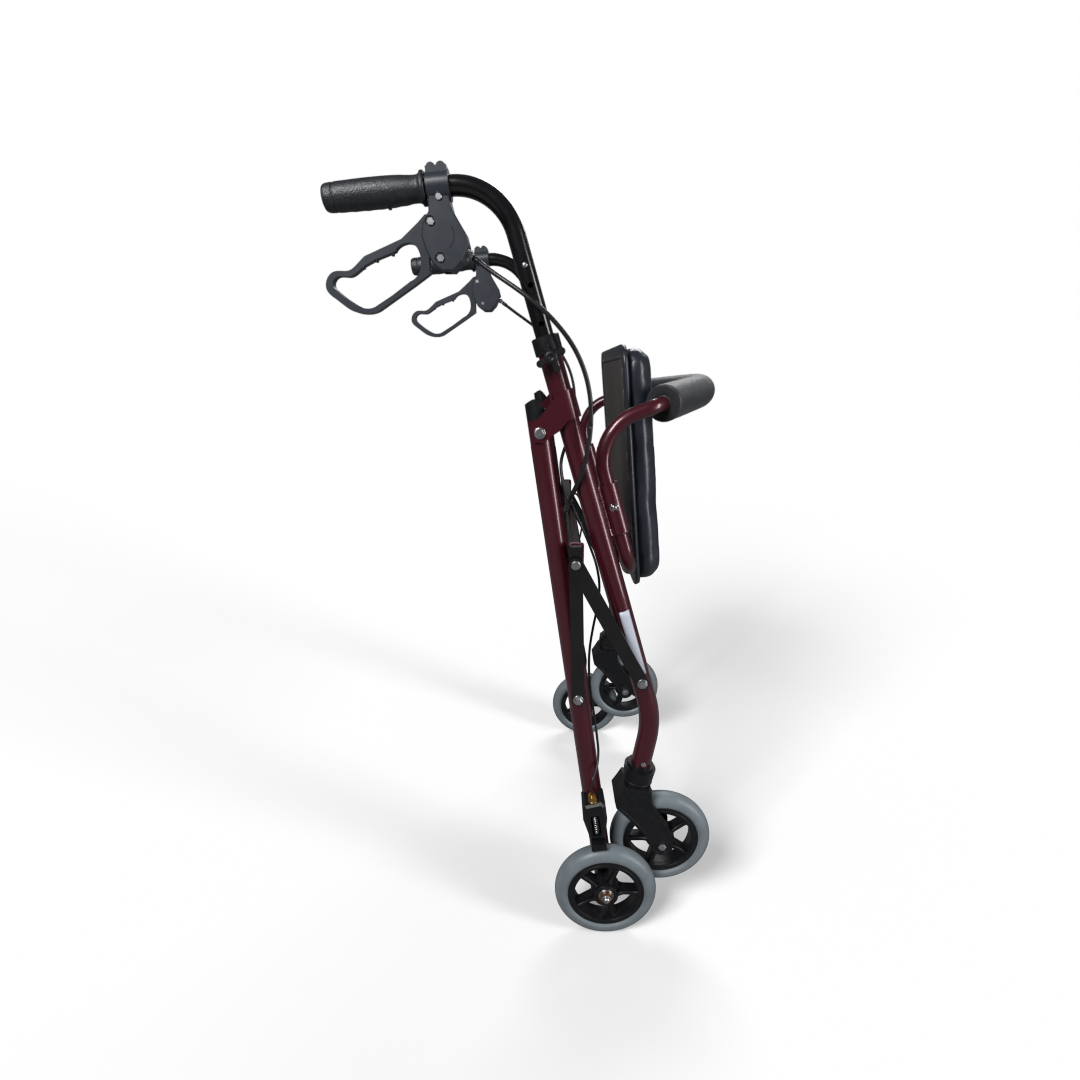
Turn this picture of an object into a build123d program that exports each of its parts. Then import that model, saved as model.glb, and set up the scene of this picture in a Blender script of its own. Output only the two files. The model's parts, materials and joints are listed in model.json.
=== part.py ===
from build123d import *
import os
from math import atan2, cos, degrees, pi, radians, sin, sqrt

os.makedirs("parts", exist_ok=True)

# A folding four-wheeled rollator, standing folded. X points forward, Y to the walker's left and
# Z up. Side positions are given as (x, z) from the fold pivot, which joins the front frame and
# the rear legs. All sizes are in millimetres.
PIVOT_X = -8.35
PIVOT_Z = 745.55
SIDES = (("right", -1), ("left", 1))

# Tubes: outer radius and wall.
FRAME_Y = 222.0
TUBE_R = 14.0
TUBE_WALL = 1.6
POST_R = 11.1
POST_WALL = 1.5
HOOP_R = 9.5
HOOP_WALL = 1.4
CROSS_R = 11.0
RUN = 0.05

# Front frame.
FRONT_RAKE = 16.6
STEM_RAKE = 9.5
FRONT_X0 = 39.5
FRONT_TOP_Z = 99.0
BEND_Z = -405.0
STEM_END_Z = -483.5
FRONT_BEND_R = 150.0

# Rear legs.
LEG_RAKE = 8.33
LEG_LENGTH = 690.0
AXLE_DOWN_LEG = 677.7
LEG_TOP = 16.0
REAR_CROSS_DOWN = 206.0
FOLD_OPEN = 50.0

# Folding links: pivot on the front tube, shared joint, pivot on the leg.
LINK_FRONT_Z = -331.7
LINK_JOINT = (46.0, -163.8)
LINK_LEG_DOWN = 363.6

# Wheels.
WHEEL_R = 75.0
TYRE_HALF = 14.0
TYRE_SEAT_R = 56.5
REAR_WHEEL_Y = 258.0
CASTER_TRAIL = 54.2
CASTER_DROP = 114.6
AXLE_R = 4.0
BEARING_R = 11.0
BEARING_W = 7.0

# Seat and backrest.
SOCKET_Y = 214.0
SOCKET_R = 13.0
SOCKET_X0 = 67.0
SEAT_HINGE_Z = -189.5
SEAT_LEAN = 5.5
SEAT_HALF_W = 170.0
FOAM_R = 24.4

# Handles.
HANDLE_TILT = 4.9
HANDLE_CORNER_Z = 279.3
GRIP_LENGTH = 117.0
HANDLE_BEND_R = 70.0
LEVER_PIVOT = (-123.3, 235.4)
LEVER_HALF = 6.0
HOLE_PITCH = 22.0

# Brakes, placed along the leg above the rear axle.
SHOE_GAP = 3.0
ROD_Y = 254.0
CABLE_R = 2.8
WIRE_R = 1.4

front_slope = sin(radians(FRONT_RAKE)) / cos(radians(FRONT_RAKE))
front_dir = (sin(radians(FRONT_RAKE)), -cos(radians(FRONT_RAKE)))
leg_dir = (sin(radians(LEG_RAKE)), -cos(radians(LEG_RAKE)))
stem_dir = (-sin(radians(STEM_RAKE)), -cos(radians(STEM_RAKE)))


def spot(x, z, y=0.0):
    """A point of the row frame from its side position."""
    return Vector(PIVOT_X + x, y, PIVOT_Z + z)


def side_plane(y, at=(0.0, 0.0), turn=0.0):
    """A plane facing the right side (-Y), its local X turned up from +X by turn degrees."""
    x_dir = (cos(radians(turn)), 0, sin(radians(turn)))
    return Plane(origin=spot(at[0], at[1], y), x_dir=x_dir, z_dir=(0, -1, 0))


def front_x(z):
    """X of the front tube's axis at height z."""
    return FRONT_X0 - front_slope * z


def socket_x(z):
    """X of the socket's axis at height z."""
    return SOCKET_X0 - front_slope * z


def along(start, direction, distance):
    return (start[0] + direction[0] * distance, start[1] + direction[1] * distance)


def save(piece, label):
    piece.part.label = label
    export_step(piece.part, f"parts/{label}.step")


front_top = (front_x(FRONT_TOP_Z), FRONT_TOP_Z)
front_bend = (front_x(BEND_Z), BEND_Z)
stem_end = along(front_bend, stem_dir, (BEND_Z - STEM_END_Z) / cos(radians(STEM_RAKE)))
leg_top = along((0, 0), leg_dir, -LEG_TOP)
leg_end = along((0, 0), leg_dir, LEG_LENGTH)
rear_axle = along((0, 0), leg_dir, AXLE_DOWN_LEG)
link_leg = along((0, 0), leg_dir, LINK_LEG_DOWN)
link_front = (front_x(LINK_FRONT_Z), LINK_FRONT_Z)
seat_hinge = (socket_x(SEAT_HINGE_Z), SEAT_HINGE_Z)
caster_x = (cos(radians(STEM_RAKE)), -sin(radians(STEM_RAKE)))
caster_axle = along(along(stem_end, caster_x, CASTER_TRAIL), stem_dir, CASTER_DROP)
handle_dir = (cos(radians(HANDLE_TILT)), sin(radians(HANDLE_TILT)))
handle_corner = (front_x(HANDLE_CORNER_Z), HANDLE_CORNER_Z)
grip_end = along(handle_corner, handle_dir, -202.3)


# ---------------------------------------------------------------- front frame

def front_tube(side):
    """Side tube of the front frame, bent back near its foot to carry the caster stem."""
    with BuildPart() as tube:
        with BuildLine() as path:
            FilletPolyline(
                spot(*front_top, side * FRAME_Y),
                spot(*front_bend, side * FRAME_Y),
                spot(*stem_end, side * FRAME_Y),
                radius=FRONT_BEND_R,
            )
        with BuildSketch(Plane(origin=path.line @ 0, z_dir=path.line % 0)):
            Circle(TUBE_R)
            Circle(TUBE_R - TUBE_WALL, mode=Mode.SUBTRACT)
        sweep(path=path.line)
        with BuildSketch(side_plane(side * FRAME_Y, link_front)):
            Circle(AXLE_R)
        extrude(amount=TUBE_R + 2, both=True, mode=Mode.SUBTRACT)
        knob_hole = along(front_top, front_dir, 11)
        with BuildSketch(side_plane(side * (FRAME_Y + TUBE_R), knob_hole)):
            Circle(3.3)
        extrude(amount=8, both=True, mode=Mode.SUBTRACT)
        stem_screw = along(stem_end, stem_dir, -12)
        with BuildSketch(side_plane(side * (FRAME_Y + TUBE_R), stem_screw)):
            Circle(2.0)
        extrude(amount=8, both=True, mode=Mode.SUBTRACT)
    return tube


def tube_plane(side, y=FRAME_Y, x0=FRONT_X0):
    """Side plane with its origin on the front tube's axis nearest the pivot, local Y up it."""
    foot = along((x0, 0), front_dir, x0 * sin(radians(FRONT_RAKE)) * -1)
    return side_plane(side * y, foot, FRONT_RAKE)


def pivot_bracket(side):
    """U-shaped steel plate: wraps the front tube and reaches back on both sides of the leg."""
    reach = -FRONT_X0 * cos(radians(FRONT_RAKE))
    plate = 3.0
    gap = TUBE_R + 0.3
    with BuildPart() as bracket:
        with BuildSketch(tube_plane(side)):
            with BuildLine():
                Polyline(
                    (reach - 9, 9.5), (0, 40), (0, 5), (-14, -4.5), (reach + 12, -8),
                    (reach + 1, -13), (reach - 10, -8), (reach - 9, 9.5),
                )
            make_face()
        extrude(amount=gap + plate, both=True)
        with BuildSketch(tube_plane(side)):
            with Locations((-32, 12)):
                Rectangle(64, 80)
        extrude(amount=gap, both=True, mode=Mode.SUBTRACT)
        wrap = Plane(
            origin=tube_plane(side).from_local_coords((0, 5, 0)),
            x_dir=(0, 1, 0),
            z_dir=(-front_dir[0], 0, -front_dir[1]),
        )
        with BuildSketch(wrap):
            Circle(gap + plate)
            Circle(TUBE_R, mode=Mode.SUBTRACT)
            with Locations((0, wrap_back(wrap))):
                Rectangle(60, 40, mode=Mode.SUBTRACT)
        extrude(amount=35)
        with BuildSketch(tube_plane(side)):
            with Locations((reach, 0)):
                Circle(AXLE_R)
        extrude(amount=gap + plate + 1, both=True, mode=Mode.SUBTRACT)
    return bracket


def wrap_back(plane):
    """Local Y of the half of a tube's circle that faces the rear leg."""
    return -20.0 if plane.y_dir.X > 0 else 20.0


def hoop_socket(side):
    """Sleeve welded along the front tube; the backrest hoop plugs in from above."""
    top_z, low_z = -66.0, -130.0
    axis = Plane(
        origin=spot(socket_x(low_z), low_z, side * SOCKET_Y),
        x_dir=(0, 1, 0),
        z_dir=(-front_dir[0], 0, -front_dir[1]),
    )
    length = (top_z - low_z) / cos(radians(FRONT_RAKE))
    with BuildPart() as socket:
        with BuildSketch(axis):
            Circle(SOCKET_R)
        extrude(amount=length)
        foot = along((front_x(low_z), low_z), front_dir, (SOCKET_X0 - FRONT_X0) * front_dir[0])
        weld = Plane(
            origin=spot(foot[0], foot[1], side * FRAME_Y),
            x_dir=(0, 1, 0),
            z_dir=(-front_dir[0], 0, -front_dir[1]),
        )
        toward = weld.to_local_coords(axis.origin)
        with BuildSketch(weld):
            with BuildLine():
                Polyline(
                    (-5, toward.Y * 0.35), (5, toward.Y * 0.35),
                    (toward.X + 6, toward.Y * 0.75), (toward.X - 6, toward.Y * 0.75),
                    (-5, toward.Y * 0.35),
                )
            make_face()
        extrude(amount=length)
        with BuildSketch(weld):
            Circle(TUBE_R + 0.02)
        extrude(amount=length, mode=Mode.SUBTRACT)
        with BuildSketch(axis):
            Circle(HOOP_R + RUN)
        extrude(amount=length, mode=Mode.SUBTRACT)
        with BuildSketch(side_plane(side * (SOCKET_Y + SOCKET_R), (socket_x(-95), -95))):
            Circle(3.6)
        extrude(amount=8, both=True, mode=Mode.SUBTRACT)
    return socket


def seat_cross_tube():
    """U tube: down out of each socket, then across under the seat's hinge."""
    top_z = -107.0
    with BuildPart() as tube:
        with BuildLine() as path:
            FilletPolyline(
                spot(socket_x(top_z), top_z, -SOCKET_Y),
                spot(*seat_hinge, -SOCKET_Y),
                spot(*seat_hinge, SOCKET_Y),
                spot(socket_x(top_z), top_z, SOCKET_Y),
                radius=36,
            )
        with BuildSketch(Plane(origin=path.line @ 0, z_dir=path.line % 0)):
            Circle(HOOP_R)
            Circle(HOOP_R - HOOP_WALL, mode=Mode.SUBTRACT)
        sweep(path=path.line)
    return tube


def axis_plane(at, y, direction):
    """A plane across an axis that runs in the side view, normal along direction."""
    return Plane(origin=spot(at[0], at[1], y), x_dir=(0, 1, 0), z_dir=(direction[0], 0, direction[1]))


def post_collar(side):
    """Plastic collar on the tube's mouth, with the bush the post slides in."""
    up = (-front_dir[0], -front_dir[1])
    skirt = axis_plane(along(front_top, up, -6), side * FRAME_Y, up)
    bush = axis_plane(along(front_top, up, -50), side * FRAME_Y, up)
    with BuildPart() as collar:
        with BuildSketch(skirt):
            Circle(17)
        extrude(amount=21)
        chamfer(collar.edges().filter_by(GeomType.CIRCLE), 1.2)
        with BuildSketch(skirt):
            Circle(TUBE_R + 0.02)
        extrude(amount=6, mode=Mode.SUBTRACT)
        with BuildSketch(bush):
            Circle(TUBE_R - TUBE_WALL - 0.02)
        extrude(amount=50)
        with BuildSketch(bush):
            Circle(POST_R + RUN)
        extrude(amount=70, mode=Mode.SUBTRACT)
        with BuildSketch(side_plane(side * (FRAME_Y + TUBE_R), along(front_top, front_dir, 11))):
            Circle(3.3)
        extrude(amount=8, both=True, mode=Mode.SUBTRACT)
    return collar


def stem_housing(side):
    """Caster bearing housing: cap under the tube's foot and a plug inside it."""
    up = (-stem_dir[0], -stem_dir[1])
    y = side * FRAME_Y
    with BuildPart() as housing:
        with BuildSketch(axis_plane(along(stem_end, up, -24), y, up)):
            Circle(21)
        extrude(amount=24, taper=-4)
        with BuildSketch(axis_plane(stem_end, y, up)):
            Circle(19)
        extrude(amount=5)
        with BuildSketch(axis_plane(stem_end, y, up)):
            Circle(TUBE_R + 0.02)
        extrude(amount=6, mode=Mode.SUBTRACT)
        with BuildSketch(axis_plane(stem_end, y, up)):
            Circle(TUBE_R - TUBE_WALL - 0.02)
        extrude(amount=40)
        with BuildSketch(axis_plane(along(stem_end, up, -25), y, up)):
            Circle(6 + RUN)
        extrude(amount=57, mode=Mode.SUBTRACT)
        with BuildSketch(side_plane(side * (FRAME_Y + 12), along(stem_end, up, 12))):
            Circle(2.0)
        extrude(amount=4, both=True, mode=Mode.SUBTRACT)
    return housing


def bolt(start_y, end_y, at, radius, head_r, head_h, side, sides=6):
    """A bolt along Y with its head outboard, as algebra so that a group can be gathered."""
    shank = side_plane(side * start_y, at) * Cylinder(
        radius, end_y - start_y, align=(Align.CENTER, Align.CENTER, Align.MIN)
    )
    if side > 0:
        shank = mirror(shank, about=Plane.XZ.offset(-start_y))
    head_plane = Plane(origin=spot(at[0], at[1], side * end_y), x_dir=(1, 0, 0), z_dir=(0, side, 0))
    head = extrude(head_plane * RegularPolygon(head_r, sides), amount=head_h)
    head = chamfer(head.faces().sort_by(Axis.Y)[-1 if side > 0 else 0].edges(), head_h * 0.25)
    return shank + head


def ring(start_y, end_y, at, outer, inner, side):
    """A washer or spacer along Y."""
    plane = Plane(origin=spot(at[0], at[1], side * start_y), x_dir=(1, 0, 0), z_dir=(0, side, 0))
    return extrude(plane * (Circle(outer) - Circle(inner)), amount=end_y - start_y)


def gather(solids):
    """A node made of several separate solids."""
    with BuildPart() as group:
        for solid in solids:
            add(solid)
    return group


frame_bolts = []
for name, side in SIDES:
    inner = FRAME_Y - TUBE_R - 3.3
    frame_bolts.append(bolt(inner, FRAME_Y + TUBE_R + 3.3, (0, 0), AXLE_R - 0.01, 6.0, 5, side))
    frame_bolts.append(ring(inner - 6, inner, (0, 0), 7, AXLE_R - 1, side))
    frame_bolts.append(bolt(FRAME_Y - TUBE_R, 255.8, link_front, AXLE_R - 0.01, 6.0, 4.5, side))
    frame_bolts.append(ring(FRAME_Y - TUBE_R - 6, FRAME_Y - TUBE_R, link_front, 7, AXLE_R - 1, side))
    frame_bolts.append(ring(FRAME_Y + TUBE_R + 0.05, 251.3, link_front, 8, AXLE_R, side))
    screw_at = along(stem_end, stem_dir, -12)
    frame_bolts.append(bolt(FRAME_Y + 10, FRAME_Y + TUBE_R, screw_at, 1.98, 4, 2.2, side))


# ----------------------------------------------------------------- rear frame

def rear_leg(side):
    """Straight rear leg from the saddle cap, past the fold pivot, to the rear axle."""
    with BuildPart() as leg:
        with BuildSketch(axis_plane(leg_top, side * FRAME_Y, leg_dir)):
            Circle(TUBE_R)
            Circle(TUBE_R - TUBE_WALL, mode=Mode.SUBTRACT)
        extrude(amount=LEG_LENGTH + LEG_TOP)
        for at, radius in (((0, 0), AXLE_R + RUN), (link_leg, AXLE_R), (rear_axle, AXLE_R)):
            with BuildSketch(side_plane(side * FRAME_Y, at)):
                Circle(radius)
            extrude(amount=TUBE_R + 2, both=True, mode=Mode.SUBTRACT)
    return leg


def rear_cross_tube():
    """Cross tube between the legs, coped to them; the seat rests on it in use."""
    at = along((0, 0), leg_dir, REAR_CROSS_DOWN)
    with BuildPart() as tube:
        with BuildSketch(side_plane(-FRAME_Y, at)):
            Circle(CROSS_R)
            Circle(CROSS_R - TUBE_WALL, mode=Mode.SUBTRACT)
        extrude(amount=-2 * FRAME_Y)
        for _, side in SIDES:
            with BuildSketch(axis_plane(along(at, leg_dir, -30), side * FRAME_Y, leg_dir)):
                Circle(TUBE_R + 0.02)
            extrude(amount=60, mode=Mode.SUBTRACT)
    return tube


def saddle_cap(side):
    """End cap on the leg, hollowed to sit against the front tube when the frame is open."""
    up = (-leg_dir[0], -leg_dir[1])
    # The front tube's axis as the leg sees it when the frame is open.
    rake = radians(FRONT_RAKE + FOLD_OPEN)
    reach = FRONT_X0 * cos(radians(FRONT_RAKE))
    seat_axis = (reach * cos(rake), reach * sin(rake))
    tube_dir = (sin(rake), -cos(rake))
    with BuildPart() as cap:
        with BuildSketch(axis_plane(leg_top, side * FRAME_Y, up)):
            Circle(TUBE_R)
        extrude(amount=28)
        with BuildSketch(axis_plane(along(leg_top, up, -22), side * FRAME_Y, up)):
            Circle(TUBE_R - TUBE_WALL - 0.02)
        extrude(amount=22)
        with BuildSketch(axis_plane(along(seat_axis, tube_dir, -60), side * FRAME_Y, tube_dir)):
            Circle(TUBE_R + 0.6)
        extrude(amount=120, mode=Mode.SUBTRACT)
        with BuildSketch(side_plane(side * FRAME_Y, (0, 0))):
            Circle(AXLE_R + 3)
        extrude(amount=TUBE_R, both=True, mode=Mode.SUBTRACT)
    return cap


def leg_plane(y):
    """Side plane at the rear axle with local Y up the leg."""
    return side_plane(y, rear_axle, LEG_RAKE)


def brake_housing(side):
    """Moulded housing clasping the leg's outer side, open over the return spring."""
    with BuildPart() as housing:
        with BuildSketch(leg_plane(side * (FRAME_Y + 2))):
            with BuildLine():
                Polyline(
                    (-12, 149), (12, 152), (16, 146), (17, 124), (12.5, 100), (11, 91),
                    (-11, 91), (-13, 104), (-17, 126), (-16, 144), (-12, 149),
                )
            make_face()
        extrude(amount=side * -38)
        outer = housing.faces().sort_by(Axis.Y)[-1 if side > 0 else 0]
        chamfer(outer.edges(), 3)
        up_leg = (-leg_dir[0], -leg_dir[1])
        with BuildSketch(axis_plane(along(rear_axle, leg_dir, -60), side * FRAME_Y, up_leg)):
            Circle(TUBE_R + 0.02)
        extrude(amount=130, mode=Mode.SUBTRACT)
        with BuildSketch(leg_plane(side * (ROD_Y - 6))):
            with Locations((0, 114)):
                RectangleRounded(12.8, 36, 3)
        extrude(amount=side * -20, mode=Mode.SUBTRACT)
        rod = axis_plane(along(rear_axle, leg_dir, -80), side * ROD_Y, (-leg_dir[0], -leg_dir[1]))
        with BuildSketch(rod):
            Circle(3 + RUN)
        extrude(amount=66, mode=Mode.SUBTRACT)
        with BuildSketch(rod.offset(54)):
            Circle(5)
        extrude(amount=40, mode=Mode.SUBTRACT)
    return housing


def adjuster(side):
    """Brass barrel adjuster in the top of a brake housing."""
    base = axis_plane(along(rear_axle, leg_dir, -134), side * ROD_Y, (-leg_dir[0], -leg_dir[1]))
    body = extrude(base * (Circle(4.98) - Circle(1.6)), amount=16)
    nut = extrude(base.offset(20) * (RegularPolygon(6.5, 6) - Circle(3)), amount=7)
    neck = extrude(base.offset(16) * (Circle(3.6) - Circle(1.6)), amount=14)
    return body + neck + nut


rear_bolts = []
for name, side in SIDES:
    rear_bolts.append(bolt(FRAME_Y - TUBE_R, 251.3, link_leg, AXLE_R - 0.01, 6.0, 4.5, side))
    rear_bolts.append(ring(FRAME_Y - TUBE_R - 6, FRAME_Y - TUBE_R, link_leg, 7, AXLE_R - 1, side))
    rear_bolts.append(ring(FRAME_Y + TUBE_R + 0.05, 237.3, link_leg, 8, AXLE_R, side))
    rear_bolts.append(bolt(FRAME_Y - TUBE_R, 276, rear_axle, AXLE_R - 0.01, 7.2, 3.5, side))
    rear_bolts.append(ring(FRAME_Y - TUBE_R - 6, FRAME_Y - TUBE_R, rear_axle, 8, AXLE_R - 1, side))
    rear_bolts.append(ring(FRAME_Y + TUBE_R + 0.05, 242.7, rear_axle, 7, AXLE_R, side))
    rear_bolts.append(ring(273.4, 275.9, rear_axle, 10, AXLE_R, side))
    dome_plane = spot(rear_axle[0], rear_axle[1], side * 279.5)
    dome = Pos(dome_plane) * Sphere(5.2)
    rear_bolts.append(dome & (Pos(dome_plane) * Pos(0, side * 5, 0) * Box(12, 10, 12)))


# -------------------------------------------------------------- folding links

def link_angle(start, end):
    return degrees(atan2(end[1] - start[1], end[0] - start[0]))


def link_length(start, end):
    return sqrt((end[0] - start[0]) ** 2 + (end[1] - start[1]) ** 2)


LINK_IN = 237.5
LINK_MID = 251.0
PLATE_IN = 251.5
PLATE_OUT = 255.5


def front_link(side):
    """Flat bar outside the rear link, from the front tube to the shared joint."""
    turn = link_angle(link_front, LINK_JOINT)
    length = link_length(link_front, LINK_JOINT)
    with BuildPart() as link:
        with BuildSketch(side_plane(side * (PLATE_IN + PLATE_OUT) / 2, link_front, turn)):
            with Locations((length / 2, 0)):
                SlotCenterToCenter(length, 19)
            with Locations((0, 0), (length, 0)):
                Circle(AXLE_R + RUN, mode=Mode.SUBTRACT)
        extrude(amount=(PLATE_OUT - PLATE_IN) / 2, both=True)
    return link


def rear_link(side):
    """Box-section bar from the leg up to the squared end that carries the crossbar."""
    turn = link_angle(link_leg, LINK_JOINT)
    length = link_length(link_leg, LINK_JOINT)
    with BuildPart() as link:
        with BuildSketch(side_plane(side * (LINK_IN + LINK_MID) / 2, link_leg, turn)):
            with Locations(((length + 22) / 2, 0)):
                Rectangle(length + 22, 17.5)
            Circle(8.75)
            Circle(AXLE_R + RUN, mode=Mode.SUBTRACT)
        extrude(amount=(LINK_MID - LINK_IN) / 2, both=True)
        chamfer(link.edges().filter_by(Axis.Y).sort_by(Axis.Z)[-2:], 1.2)
    return link


link_turn = link_angle(link_leg, LINK_JOINT)
with BuildPart() as link_crossbar:
    with BuildSketch(side_plane(LINK_IN, LINK_JOINT, link_turn)):
        with Locations((9.5, -1.5)):
            RectangleRounded(25, 14, 3)
            RectangleRounded(22, 11, 1.8, mode=Mode.SUBTRACT)
    extrude(amount=2 * LINK_IN)

with BuildPart() as cable_tie:
    with BuildSketch(side_plane(5, LINK_JOINT, link_turn)):
        with Locations((9.5, -1.5)):
            RectangleRounded(28.6, 17.6, 4)
            RectangleRounded(25.02, 14.02, 3, mode=Mode.SUBTRACT)
        with Locations((25.6, -1.5)):
            RectangleRounded(7, 13, 2.5)
    extrude(amount=10)
    with BuildSketch(side_plane(6, LINK_JOINT, link_turn)):
        with Locations((26, -1.5)):
            RectangleRounded(5.2, 9, 1.5)
    extrude(amount=12, mode=Mode.SUBTRACT)

joint_bolts = []
for name, side in SIDES:
    joint_bolts.append(bolt(PLATE_IN - 0.2, PLATE_OUT, LINK_JOINT, AXLE_R, 6.0, 4.0, side, 24))


# ----------------------------------------------------------------------- seat

def seat_plane(y=0.0):
    """Side plane at the seat's hinge with local Y up the raised seat."""
    return side_plane(y, seat_hinge, SEAT_LEAN)


def seat_face(offset):
    """Plane parallel to the seat, at a distance in front of the hinge axis."""
    lean = radians(SEAT_LEAN)
    at = along(seat_hinge, (cos(lean), sin(lean)), offset)
    return Plane(origin=spot(at[0], at[1]), x_dir=(0, 1, 0), z_dir=(cos(lean), 0, sin(lean)))


BOARD_FRONT = 17.0
PAD_FRONT = 47.0
SEAT_LOW, SEAT_HIGH = -40.0, 298.0
seat_mid = (SEAT_LOW + SEAT_HIGH) / 2
seat_len = SEAT_HIGH - SEAT_LOW

with BuildPart() as seat_board:
    with BuildSketch(seat_face(11)):
        with Locations((0, seat_mid)):
            RectangleRounded(2 * SEAT_HALF_W - 10, seat_len - 8, 26)
    extrude(amount=BOARD_FRONT - 11)

with BuildPart() as seat_pad:
    with BuildSketch(seat_face(BOARD_FRONT + 0.3)):
        with Locations((0, seat_mid)):
            RectangleRounded(2 * SEAT_HALF_W, seat_len, 30)
    extrude(amount=PAD_FRONT - BOARD_FRONT - 0.3)
    pad_axis = Axis(seat_face(0).origin, seat_face(0).z_dir)
    pad_front = seat_pad.faces().filter_by(GeomType.PLANE).sort_by(pad_axis)[-1]
    chamfer(pad_front.edges(), 16)

with BuildPart() as seat_hinges:
    for y in (-110, 110):
        with BuildSketch(seat_plane(y)):
            Circle(13.5)
            with Locations((6.9, 14)):
                Rectangle(8, 30)
        extrude(amount=15, both=True)
        with BuildSketch(seat_plane(y)):
            Circle(HOOP_R + RUN)
        extrude(amount=16, both=True, mode=Mode.SUBTRACT)
    split(bisect_by=seat_face(10.98), keep=Keep.BOTTOM)


# ------------------------------------------------------------------- backrest
HOOP_FOOT_Z = -102.0
hoop_corner = (socket_x(2.0), 2.0)
hoop_turn_in = (148.0, 32.0)
HOOP_TURN_Y = 206.0
hoop_bow = (267.0, 50.0)

hoop_points = [spot(socket_x(HOOP_FOOT_Z), HOOP_FOOT_Z, -SOCKET_Y)]
hoop_points.append(spot(*hoop_corner, -SOCKET_Y))
hoop_points.append(spot(*hoop_turn_in, -HOOP_TURN_Y))
hoop_points.append(spot(*hoop_bow))
hoop_points.append(spot(*hoop_turn_in, HOOP_TURN_Y))
hoop_points.append(spot(*hoop_corner, SOCKET_Y))
hoop_points.append(spot(socket_x(HOOP_FOOT_Z), HOOP_FOOT_Z, SOCKET_Y))
HOOP_BOW_R = 150.0
hoop_radii = [62, 28, HOOP_BOW_R, 28, 62]

with BuildPart() as backrest_hoop:
    with BuildLine() as hoop_path:
        FilletPolyline(*hoop_points, radius=hoop_radii)
    with BuildSketch(Plane(origin=hoop_path.line @ 0, z_dir=hoop_path.line % 0)):
        Circle(HOOP_R)
        Circle(HOOP_R - HOOP_WALL, mode=Mode.SUBTRACT)
    sweep(path=hoop_path.line)
    for _, side in SIDES:
        with BuildSketch(side_plane(side * (SOCKET_Y + HOOP_R), (socket_x(-95), -95))):
            Circle(3.4)
        extrude(amount=5, both=True, mode=Mode.SUBTRACT)

# The foam sleeve covers the bowed front stretch, from the end of each inward turn.
FOAM_START = 19.0
foam_points = []
for side in (-1, 1):
    turn_in = spot(*hoop_turn_in, side * HOOP_TURN_Y)
    foam_points.append(turn_in + (spot(*hoop_bow) - turn_in).normalized() * FOAM_START)
foam_points.insert(1, spot(*hoop_bow))
with BuildPart() as backrest_foam:
    with BuildLine() as foam_path:
        FilletPolyline(*foam_points, radius=HOOP_BOW_R)
    with BuildSketch(Plane(origin=foam_path.line @ 0, z_dir=foam_path.line % 0)):
        Circle(FOAM_R)
        Circle(HOOP_R + 0.02, mode=Mode.SUBTRACT)
    sweep(path=foam_path.line)


# -------------------------------------------------------------------- handles

def handle_tube(side):
    """Height post and handlebar in one tube: up out of the collar, then back over the bend."""
    foot = along(front_top, front_dir, 130)
    with BuildPart() as tube:
        with BuildLine() as path:
            FilletPolyline(
                spot(*foot, side * FRAME_Y),
                spot(*handle_corner, side * FRAME_Y),
                spot(*along(grip_end, handle_dir, 4), side * FRAME_Y),
                radius=HANDLE_BEND_R,
            )
        with BuildSketch(Plane(origin=path.line @ 0, z_dir=path.line % 0)):
            Circle(POST_R)
            Circle(POST_R - POST_WALL, mode=Mode.SUBTRACT)
        sweep(path=path.line)
        for step in range(4):
            hole = along(front_top, front_dir, -29 - HOLE_PITCH * step)
            with BuildSketch(side_plane(side * (FRAME_Y + POST_R), hole)):
                Circle(3.2)
            extrude(amount=5, both=True, mode=Mode.SUBTRACT)
    return tube


def hand_grip(side):
    """Moulded grip: rounded end, full middle, waist and flange."""
    forward = (handle_dir[0], 0, handle_dir[1])
    back = Plane(origin=spot(*grip_end, side * FRAME_Y), x_dir=forward, z_dir=(0, -1, 0))
    with BuildPart() as grip:
        with BuildSketch(back):
            with BuildLine():
                Polyline((0, 11), (0, 0), (GRIP_LENGTH, 0), (GRIP_LENGTH, 18.3), (GRIP_LENGTH - 5, 18.3))
                Spline(
                    (GRIP_LENGTH - 5, 18.3), (GRIP_LENGTH - 12, 14.4), (80, 16.3), (45, 16.6), (12, 15.6),
                    (4, 14.8),
                )
                ThreePointArc((4, 14.8), (1.2, 13.6), (0, 11))
            make_face()
        revolve(axis=Axis(back.origin, back.x_dir))
        with BuildSketch(axis_plane(along(grip_end, handle_dir, 4), side * FRAME_Y, handle_dir)):
            Circle(POST_R + 0.02)
        extrude(amount=GRIP_LENGTH, mode=Mode.SUBTRACT)
    return grip


CLAMP_START, CLAMP_LENGTH = 119.0, 25.6
HOUSE_HALF = 14.0
clamp_screw = along(along(grip_end, handle_dir, CLAMP_START + 13), (-handle_dir[1], handle_dir[0]), -13.5)


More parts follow.
